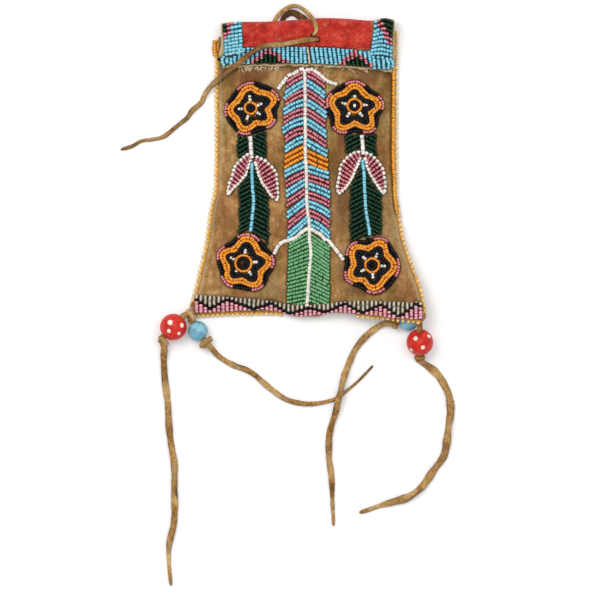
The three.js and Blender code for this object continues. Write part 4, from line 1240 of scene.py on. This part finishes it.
def flower_reach(marks, tip_cut, valley_cut):
    turns = np.array([m[0] for m in marks], dtype=float)
    cuts = np.where(np.arange(len(marks)) % 2 == 0, tip_cut, valley_cut)
    reaches = np.array([m[1] for m in marks]) - cuts
    stations = list(zip(
        np.concatenate([turns[-2:] - 360, turns, turns[:2] + 360]),
        np.concatenate([reaches[-2:], reaches, reaches[:2]]),
    ))
    angles = turns[0] + np.arange(FLOWER_STEPS) / FLOWER_STEPS * 360
    return angles, batten(stations, angles)


def flower_line(hub, marks, tip_cut, valley_cut, least=0):
    angles, reaches = flower_reach(marks, tip_cut, valley_cut)
    radians = np.radians(angles)
    reaches = np.maximum(reaches, least)
    return together(hub[0] + reaches * np.cos(radians), hub[1] + reaches * np.sin(radians))


# The bearing of a place from a hub, in degrees
def bearing(hub, x, y):
    return math.degrees(math.atan2(y - hub[1], x - hub[0]))


# A test for places that lie within so many degrees of a valley
def in_valley(hub, marks, width):
    def test(x, y):
        angle = bearing(hub, x, y)
        return min(abs((angle - turn + 180) % 360 - 180) for turn, _ in marks[1::2]) < width
    return test


# The border's colours: navy in the valleys, pink round the petals
def border_colour(hub, marks):
    border = smooth_line(flower_line(hub, marks, *BORDER_CUTS), 0.25, True)
    length = distances(border)[-1]
    navy = in_valley(hub, marks, BORDER_VALLEY)
    return lambda number, count, share: "navy" if navy(*resampled(border, [share * length])[0]) else "pink"


# A test for places off the ring and off the white points
def inside_star(hub, ring, whites):
    def test(x, y):
        off_whites = min(math.hypot(x - spot[0], y - spot[1]) for spot in whites)
        return math.hypot(x - hub[0], y - hub[1]) > ring + 1.45 and off_whites > 1.25
    return test


def ring_points(hub, radius, count):
    return [(hub[0] + radius * math.cos(t), hub[1] + radius * math.sin(t)) for t in circle(count)]


for place, (hub, ring, marks) in FLOWERS.items():
    work = Beadwork(front_spot)
    work.row(flower_line(hub, marks, *BORDER_CUTS), border_colour(hub, marks), closed=True, radius=1)
    work.row(
        flower_line(hub, marks, *VALLEY_CUTS), "navy", closed=True, radius=0.85,
        keep=in_valley(hub, marks, INNER_VALLEY),
    )
    for tip_cut, valley_cut, beyond, colour, bead in PETAL_ROWS:
        line = flower_line(hub, marks, tip_cut, valley_cut, ring + beyond)
        work.row(line, colour, closed=True, radius=bead)
    whites = []
    for turn, reach in marks[0::2]:
        way = (math.cos(math.radians(turn)), math.sin(math.radians(turn)))
        for beyond in WHITES_BEYOND_RING:
            radius = ring + beyond
            if radius < reach - WHITES_BELOW_TIP:
                whites.append((hub[0] + radius * way[0], hub[1] + radius * way[1]))
                work.bead(*whites[-1], way, "white", 0.85, 1.15)
    star = flower_line(hub, marks, *STAR_CUTS)
    work.row(star, "navy", closed=True, keep=inside_star(hub, ring, whites))
    work.row(ring_points(hub, ring, 24), "orange", closed=True, radius=0.8)
    work.row(ring_points(hub, ring - 1.6, 16), "navy", closed=True, radius=0.9)
    work.bead(*hub, (1, 0), "white" if place == "upper_right" else "navy", 0.95)
    work.finish(
        f"flower_{place}_rows", "pouch", "orange_beads", f"flower_{place}_base", f"flower_{place}_petals",
    )


def reach_towards(hub, marks, x, y):
    angles, reaches = flower_reach(marks, 0, 0)
    gap = np.abs((angles - bearing(hub, x, y) + 180) % 360 - 180)
    return reaches[int(np.argmin(gap))]


# A test for places that lie off all flowers by a margin
def off_flowers(margin):
    def test(x, y):
        for hub, _, marks in FLOWERS.values():
            distance = math.hypot(x - hub[0], y - hub[1])
            if distance < FARTHEST_PETAL and distance < margin + reach_towards(hub, marks, x, y):
                return False
        return True
    return test


# Pink leaves: an outer and an inner edge from root to tip, and rows across, pink between two white end beads
LEAVES = {
    "pink_leaf_left_outer": (
        [(-30.6, 8.4), (-36.6, 2.6), (-38.4, -2.4), (-39.9, -6.6), (-40.8, -11.9)],
        [(-29.6, 5.2), (-31.2, -0.2), (-32.8, -3.7), (-35.5, -7), (-38.6, -9.8), (-40.2, -12)],
    ),
    "pink_leaf_left_inner": (
        [
            (-27.3, 6.2), (-24.8, 6), (-21.4, 3.8), (-18.2, 0.5), (-16.8, -2), (-16.4, -6.3), (-16.1, -10.4),
            (-16.4, -15),
        ],
        [
            (-27.1, 3.6), (-26.3, 0), (-25.2, -3.3), (-23.7, -6.5), (-21.8, -9.5), (-19.7, -12.5),
            (-16.9, -14.9),
        ],
    ),
    "pink_leaf_right_inner": (
        [(25, 9), (22.8, 8.9), (20, 7.5), (16.1, 3.2), (14.9, 0), (14.3, -4), (13.3, -9.2), (14.4, -11.6)],
        [(25, 5.6), (23.2, 1.4), (21.1, -3.6), (19, -7.4), (16.5, -10.3), (14.8, -11.8)],
    ),
    "pink_leaf_right_outer": (
        [
            (27.2, 8.5), (29, 8.3), (31.3, 6.8), (34.1, 3.6), (35.9, 0.8), (36.7, -2.5), (37.4, -8.5),
            (36.6, -11.9),
        ],
        [(27.2, 6), (28.4, 1.6), (30, -2.1), (31.7, -5.4), (34.2, -9.2), (36.1, -11.7)],
    ),
}
LEAF_ROW = 2
LEAF_LEAN = {"outer": 0.0, "inner": -0.05}


def leaf_colour(number, count, share):
    return "white" if number in (0, count - 1) else "pink"


leaf_outlines = []
for name, (outer, inner) in LEAVES.items():
    work = Beadwork(front_spot)
    outer_line = smooth_line(outer)
    inner_line = smooth_line(inner)
    outer_length = distances(outer_line)[-1]
    inner_length = distances(inner_line)[-1]
    leaf_outlines.append(np.vstack([outer_line, inner_line[::-1]]))
    rows = round((outer_length + inner_length) / 2 / LEAF_ROW)
    for row in range(rows):
        share = (row + 0.4) / rows
        a = resampled(outer_line, [share * outer_length])[0]
        b = resampled(inner_line, [(share + LEAF_LEAN[name[-5:]]) * inner_length])[0]
        way = unit(b - a) * 0.6
        work.row([a - way, b + way], leaf_colour, radius=1)
    tip = (outer_line[-1] + inner_line[-1]) / 2
    work.bead(*tip, unit(outer_line[-1] - outer_line[-4]), "white", 0.95)
    work.finish(name + "_rows", "pouch", "pink_beads", name)


def inside(outline, x, y):
    a = outline
    b = np.roll(outline, -1, axis=0)
    crosses = (a[:, 1] > y) != (b[:, 1] > y)
    rise = np.where(crosses, b[:, 1] - a[:, 1], 1)
    return bool(np.sum(crosses & (x < a[:, 0] + (y - a[:, 1]) / rise * (b[:, 0] - a[:, 0]))) % 2)


def near_leaf(x, y, margin):
    for outline in leaf_outlines:
        if inside(outline, x, y) or np.min(np.hypot(outline[:, 0] - x, outline[:, 1] - y)) < margin:
            return True
    return False


# Stems: rows that slope down from a vein on both sides
STEM_SLOPE = 0.53
VEIN_GAP = 0.9
STEM_ROW = ROW_PITCH * math.hypot(1, STEM_SLOPE)
STEM_RISE = 5
STEM_RUN_ON = {"upper": 4.2, "lower": 2.5}
STEM_SHOULDER = 4
STEM_NECK = 6
STEM_FRAY = 0.7
VEIN_PITCH = 1.3
VEIN_BEAD = 1.15
VEIN_RISE = 0.2
# Each leaf: its vein, its left and right ends and the vein's colour
STEMS = {
    "left": {
        "upper": ([(-29.7, 16.8), (-28.9, 5.8)], (-36.6, -21.4), "white"),
        "lower": ([
            (-28.8, 3.5), (-28.7, -6.8), (-28, -15.7), (-28.7, -22.9), (-29.2, -27.9), (-29.7, -30.8),
        ], (-35.6, -20.4), "blue"),
    },
    "right": {
        "upper": ([(25.7, 17.5), (26.5, 7.6)], (17.2, 33.2), "white"),
        "lower": ([
            (26, 5), (26.8, -3), (27, -8.5), (27.5, -17.5), (27.9, -21.8), (29, -27.5), (30, -33),
        ], (19.6, 36), "blue"),
    },
}


# A test for places where a leaf has room; a lower leaf is narrow where it starts between the pink leaves
def leaf_room(level, top):
    off_flower = off_flowers(0.9)

    def test(x, y):
        wide = level == "upper" or y < top[1] - STEM_SHOULDER or abs(x - top[0]) < STEM_NECK
        return wide and off_flower(x, y) and not near_leaf(x, y, 1.2)
    return test


for side, leaves in STEMS.items():
    for level, (vein, (left_end, right_end), vein_colour) in leaves.items():
        work = Beadwork(front_spot)
        line = smooth_line(vein)
        room = leaf_room(level, line[0])
        y = line[0, 1] + STEM_RISE
        while y > line[-1, 1] - STEM_RUN_ON[level]:
            vein_x = float(np.interp(-y, -line[:, 1], line[:, 0]))
            for end, step in ((left_end, -1), (right_end, 1)):
                start = vein_x + step * VEIN_GAP
                reach = abs(end - vein_x) - STEM_FRAY * abs(math.sin(y * 1.7))
                outer = (vein_x + step * reach, y - reach * STEM_SLOPE)
                work.row([(start, y - VEIN_GAP * STEM_SLOPE), outer], "forest", keep=room)
            y -= STEM_ROW
        work.row(vein, vein_colour, VEIN_PITCH, VEIN_BEAD, rise=VEIN_RISE, keep=off_flowers(0.6))
        work.finish(f"stem_{side}_{level}_rows", "pouch", "dark_green_beads", f"stem_{side}_{level}_leaf")

# Feather: a white midrib and arms, chevrons of two or three rows, and a green base
MIDRIB = [
    (-2.8, 50.3), (-2.6, 45), (-2.4, 35), (-2.45, 25), (-2.3, 15), (-2.4, 10), (-2, 2.5), (-1.75, -7.5),
    (-1.65, -15), (-1.25, -21), (-0.5, -25.5), (-0.25, -35), (0.5, -41), (-0.3, -50), (-0.9, -60),
    (-1.4, -68),
]
MIDRIB_GAP = 0.85
MIDRIB_PITCH = 1.36
CHEVRON_FRAY = 0.5
BASE_FRAY = 0.4
ARMS = [
    [(-2.9, 50.5), (-4.8, 50), (-8.4, 47.8), (-10.7, 47), (-13.7, 43.4), (-16, 40.3)],
    [(-2.2, 50.2), (-0.3, 49.8), (1.4, 50), (4.1, 48.2), (8.1, 44.8), (9.7, 43.9), (13.5, 42.6)],
    [(-1.2, -29.2), (-4.8, -31.5), (-7, -33.7), (-10, -35), (-12.7, -35.6), (-15.6, -37.4), (-18, -42.1)],
    [(0.4, -29.4), (3, -31.1), (4.6, -31.8), (8.1, -35.3), (9.6, -35.7), (17, -45)],
]
# Each chevron: its colour, the heights of its middle line at three places on the left and three on the
# right, outwards from the midrib, and its two ends
LEFT_PLACES = (-3.5, -7.25, -12)
RIGHT_PLACES = (-0.75, 3, 7.5)
CHEVRONS = [
    ("pink", (47.5, 45.6, 42.3), (47.8, 45.8, 42.3), -12, 7.6),
    ("blue", (43, 41, 37.6), (43.1, 40.7, 36.9), -13, 7.6),
    ("pink", (38.5, 36.9, 33.8), (38.3, 36, 32.3), -12.5, 7.9),
    ("blue", (33.6, 32.4, 29.7), (33.4, 31.1, 27.7), -13.3, 8.4),
    ("pink", (29.1, 28, 25.4), (28.6, 26.3, 23.1), -13.2, 8),
    ("blue", (24.5, 23.4, 20.8), (23.8, 21.4, 18.1), -13.8, 8.5),
    ("pink", (19.5, 18.6, 15.5), (18.6, 16.3, 13.2), -13, 8.2),
    ("blue", (15.2, 13.7, 10.4), (13.4, 11.2, 8.7), -12.6, 9),
    ("orange", (8.8, 6.9, 4.2), (6.6, 4.9, 2.9), -13, 9),
    ("blue", (2.4, 0.7, -1.8), (0.5, -0.7, -2.2), -13, 9.8),
    ("pink", (-2.3, -4.2, -7), (-4.1, -5.1, -6.7), -12.3, 10),
    ("blue", (-6.6, -8.9, -12.1), (-8.2, -9.3, -11.2), -12.4, 10.2),
    ("pink", (-11.4, -13.9, -17), (-12.7, -13.8, -15.8), -11.9, 10.2),
    ("blue", (-16.5, -19.4, -23.2), (-17, -18.2, -20.6), -11.5, 10.2),
    ("pink", (-21.5, -24.6, -28.6), (-21.4, -22.8, -25.6), -11.3, 10.1),
    ("blue", (-26.5, -29.8, -33.6), (-25.8, -27.4, -30.6), -11.2, 10.2),
]
CHEVRON_SHIFTS = {2: (1.13, -1.13), 3: (2.55, 0, -2.55)}
FEATHER_SLOTS = {"pink": "pink_beads", "blue": "light_blue_beads", "orange": "orange_beads"}
midrib_line = smooth_line(MIDRIB)


def midrib_x(y):
    return float(np.interp(-y, -midrib_line[:, 1], midrib_line[:, 0]))


for number, (colour, left, right, left_end, right_end) in enumerate(CHEVRONS):
    work = Beadwork(front_spot)
    sides = ((LEFT_PLACES, left, left_end, -1), (RIGHT_PLACES, right, right_end, 1))
    for shift in CHEVRON_SHIFTS[3 if colour == "orange" else 2]:
        for places, heights, end, step in sides:
            curve = np.polyfit(places, heights, 2)
            start = midrib_x(heights[0] + shift) + step * MIDRIB_GAP
            row_end = end - step * rng.uniform(0, CHEVRON_FRAY)
            work.row([(x, np.polyval(curve, x) + shift) for x in np.linspace(start, row_end, 5)], colour)
    name = f"feather_chevron_{number + 1}_{colour}"
    work.finish(name + "_rows", "pouch", FEATHER_SLOTS[colour], name)

BASE_ROWS = 18
BASE_FOOT = [(-14, -66.4), (-1, -67.5), (12, -67.2)]
# The base's left and right side: height at the midrib, height and place of the outer end, first row and last
BASE_SIDES = {
    -1: ((-31.9, -66.2), (-36.9, -67.6), (-10.6, -11.9)),
    1: ((-32.3, -64.8), (-38.5, -69), (10, 10)),
}


def above_base_foot(x, y):
    return y > float(batten(BASE_FOOT, x)) + 0.4


work = Beadwork(front_spot)
for row in range(BASE_ROWS):
    for step, spans in BASE_SIDES.items():
        inner, outer, end = (mix(first, last, row / (BASE_ROWS - 1)) for first, last in spans)
        start = midrib_x(inner) + step * MIDRIB_GAP
        points = [(start, inner), (end - step * rng.uniform(0, BASE_FRAY), outer)]
        work.row(points, "green", radius=1, keep=above_base_foot)
work.finish("feather_base_rows", "pouch", "green_beads", "feather_green_base")

work = Beadwork(front_spot)
work.row(MIDRIB, "white", MIDRIB_PITCH, 1, rise=0.3)
for arm in ARMS:
    work.row(arm, "white", MIDRIB_PITCH, 1.06, rise=0.2, keep=off_flowers(0.4))
work.finish("feather_lines", "pouch", "white_beads", "feather_white_lines")

# Toothed edging: a row along the edge, and a paler bead that stands out at each tooth
TOOTH = 2.45
TOOTH_OUT = 1.3
EDGE_OUT = 0.22
EDGE_WAVER = 0.16
EDGE_HALF_PITCH = 0.61
EDGE_BEAD = 0.85
BLEACHED_ABOVE = -14
LEFT_CLUMP = [(-47.3, 64.6), (-47.7, 61), (-47.2, 57)]
HEM_LEFT = -58.8
HEM_WIDTH = 115
HEM_EDGING_ENDS = (-11.4, 21.5)


def seam_spot(x, y):
    return together(x, y, lift(x, y) + SEAM_TOP / 2 - BEAD_RADIUS * SEAT)


def edging(name, points, side):
    work = Beadwork(seam_spot)
    line = smooth_line(points)
    length = distances(line)[-1]
    count = round(length / TOOTH)
    at = (np.arange(count) + 0.5) / count * length
    spots = resampled(line, at)
    ways = unit(resampled(line, at + 0.3) - resampled(line, at - 0.3))
    for number, (spot, way) in enumerate(zip(spots, ways)):
        out = side * np.array([way[1], -way[0]])
        for along in (-EDGE_HALF_PITCH, EDGE_HALF_PITCH):
            apart = EDGE_OUT + EDGE_WAVER * math.sin(2.3 * number + along)
            work.bead(*(spot + out * apart + way * along), way, "edging", EDGE_BEAD, 1.2)
        tooth = "bleached" if spot[0] > 0 and spot[1] > BLEACHED_ABOVE else "tooth"
        work.bead(*(spot + out * TOOTH_OUT), way, tooth, EDGE_BEAD, 1.5)
    work.finish(name + "_teeth", "pouch", "orange_beads", name)


def edge_points(edge, low, high):
    return [(float(edge(y)), y) for y in np.linspace(low, high, 24)]


edging("edging_left_side", edge_points(left_x, -68.6, 65.3), -1)
edging("edging_right_side", edge_points(right_x, -71.8, 69.5), 1)
work = Beadwork(seam_spot)
work.row(LEFT_CLUMP, "edging", 1.5, 1.35)
work.finish("edging_left_clump", "pouch", "orange_beads")
hem_line = [(x, float(hem_y((x - HEM_LEFT) / HEM_WIDTH))) for x in np.linspace(-57.2, 55.4, 60)]
edging("edging_left_hem", [spot for spot in hem_line if spot[0] < HEM_EDGING_ENDS[0]], 1)
edging("edging_right_hem", [spot for spot in hem_line if spot[0] > HEM_EDGING_ENDS[1]], 1)
work = Beadwork(front_spot)
inner_row = []
for y in np.linspace(-22, 52, 20):
    inner_row.append((float(right_x(y)) - 0.7 + 1.1 * float(smooth((8 - y) / 30)), y))
work.row(inner_row, "edging", 1.24, 0.9)
work.finish("edging_right_inner_row", "pouch", "orange_beads")

# Frayed sewing threads that hang from the flap's lip on to the front
THREAD_COUNT = 40
THREAD_RADIUS = 0.2
THREAD_SWAY = 0.6
THREAD_SPANS = ((-36, -14), (-34, -18), (-36, -14), (2, 34))
thread_points = []
thread_faces = []
for number in range(THREAD_COUNT):
    x = rng.uniform(*THREAD_SPANS[number % len(THREAD_SPANS)])
    y = float(lip_y(x)) + rng.uniform(0, 0.6)
    x_end = x + rng.normal(0, 1.4)
    y_end = y - rng.uniform(1.2, 3.4)
    x_upper = mix(x, x_end, 0.35) + rng.normal(0, THREAD_SWAY)
    x_lower = mix(x, x_end, 0.7) + rng.normal(0, THREAD_SWAY)
    along_x = np.array([x, x_upper, x_lower, x_end])
    along_y = np.array([y, mix(y, y_end, 0.3), mix(y, y_end, 0.7), y_end])
    along_z = front_top(along_x, along_y) + 0.35
    along_z[0] = flap_spot(along_x[0], along_y[0])[2] - 0.2
    line = smooth_line(together(along_x, along_y, along_z), 0.5)
    radius = np.full(len(line), THREAD_RADIUS)
    points, faces = tube(strip(line, radius, radius, 0 * radius, THREAD_RADIUS))
    thread_faces += [face + sum(map(len, thread_points)) for face in faces]
    thread_points.append(points)
threads = mesh_object("lip_threads", np.vstack(thread_points), thread_faces, [THREAD_LOOK])
settle(threads, "flap", "thong_hide")

# Painted shade: hide under and close around the beads and in the tie's slits is darkened, and a painted
# shadow darkens the front below the lip
SLITS = [(1.5, 67, 10.1), (3.9, 65.05, 10.1)]
SHADE_NEAR = 1.0
SHADE_FAR = 2.0
LIP_SHADE = 0.6
LIP_SHADE_REACH = 4.2
LIP_SHADE_FADE = 3.6
shade_spots = bead_spots + SLITS
shade_tree = KDTree(len(shade_spots))
for number, spot in enumerate(shade_spots):
    shade_tree.insert(spot, number)
shade_tree.balance()
for thing in (front, flap):
    corners = [vertex.co / MM for vertex in thing.data.vertices]
    gaps = np.array([shade_tree.find(corner)[2] for corner in corners])
    painted_shade = smooth((SHADE_FAR - gaps) / (SHADE_FAR - SHADE_NEAR))
    if thing == front:
        places = np.array(corners)
        below_lip = lip_y(places[:, 0]) - places[:, 1]
        painted_shade = np.maximum(painted_shade, LIP_SHADE * smooth((LIP_SHADE_REACH - below_lip) / LIP_SHADE_FADE))
    layer = thing.data.attributes.new("painted_shade", "FLOAT", "POINT")
    layer.data.foreach_set("value", painted_shade.astype(np.float32))

# Floor, light and world
AMBIENT = 0.55
FLOOR_SIZE = 1500
FLOOR_GLOW = 0.12
LAMP_SIZE = 640
LAMP_AIM = np.array([0, -50, 0])
floor_corners = [(x * FLOOR_SIZE, y * FLOOR_SIZE, 0) for x, y in ((-1, -1), (1, -1), (1, 1), (-1, 1))]
floor = mesh_object("floor", floor_corners, [np.arange(4)], [])
s = Shader("floor")
seen = s.add("ShaderNodeLightPath").outputs["Is Camera Ray"]
s.set(
    Base_Color=(0.93, 0.93, 0.93, 1), Roughness=0.9, Specular_IOR_Level=0, Emission_Color=(1, 1, 1, 1),
    Emission_Strength=s.times(seen, FLOOR_GLOW),
)
floor.data.materials.append(s.material)

world = bpy.data.worlds.new("world")
bpy.context.scene.world = world
world.use_nodes = True
tree = world.node_tree
ground = tree.nodes["Background"]
ground.inputs["Color"].default_value = (1, 1, 1, 1)
path = tree.nodes.new("ShaderNodeLightPath")
shown = None
for kind in ("Is Camera Ray", "Is Glossy Ray", "Is Transmission Ray"):
    either = tree.nodes.new("ShaderNodeMath")
    either.operation = "MAXIMUM"
    tree.links.new(path.outputs[kind], either.inputs[0])
    either.inputs[1].default_value = AMBIENT
    if shown:
        tree.links.new(shown, either.inputs[1])
    shown = either.outputs[0]
tree.links.new(shown, ground.inputs["Strength"])


def lamp(name, spot, power):
    data = bpy.data.lights.new(name, "AREA")
    data.energy = power
    data.size = LAMP_SIZE * MM
    thing = bpy.data.objects.new(name, data)
    thing.location = np.array(spot) * MM
    aim = LAMP_AIM - np.array(spot)
    thing.rotation_euler = Vector(aim).to_track_quat("-Z", "Y").to_euler()
    bpy.context.collection.objects.link(thing)


lamp("key", (-420, 380, 1250), 7.5)
lamp("fill", (380, 160, 1300), 3.6)
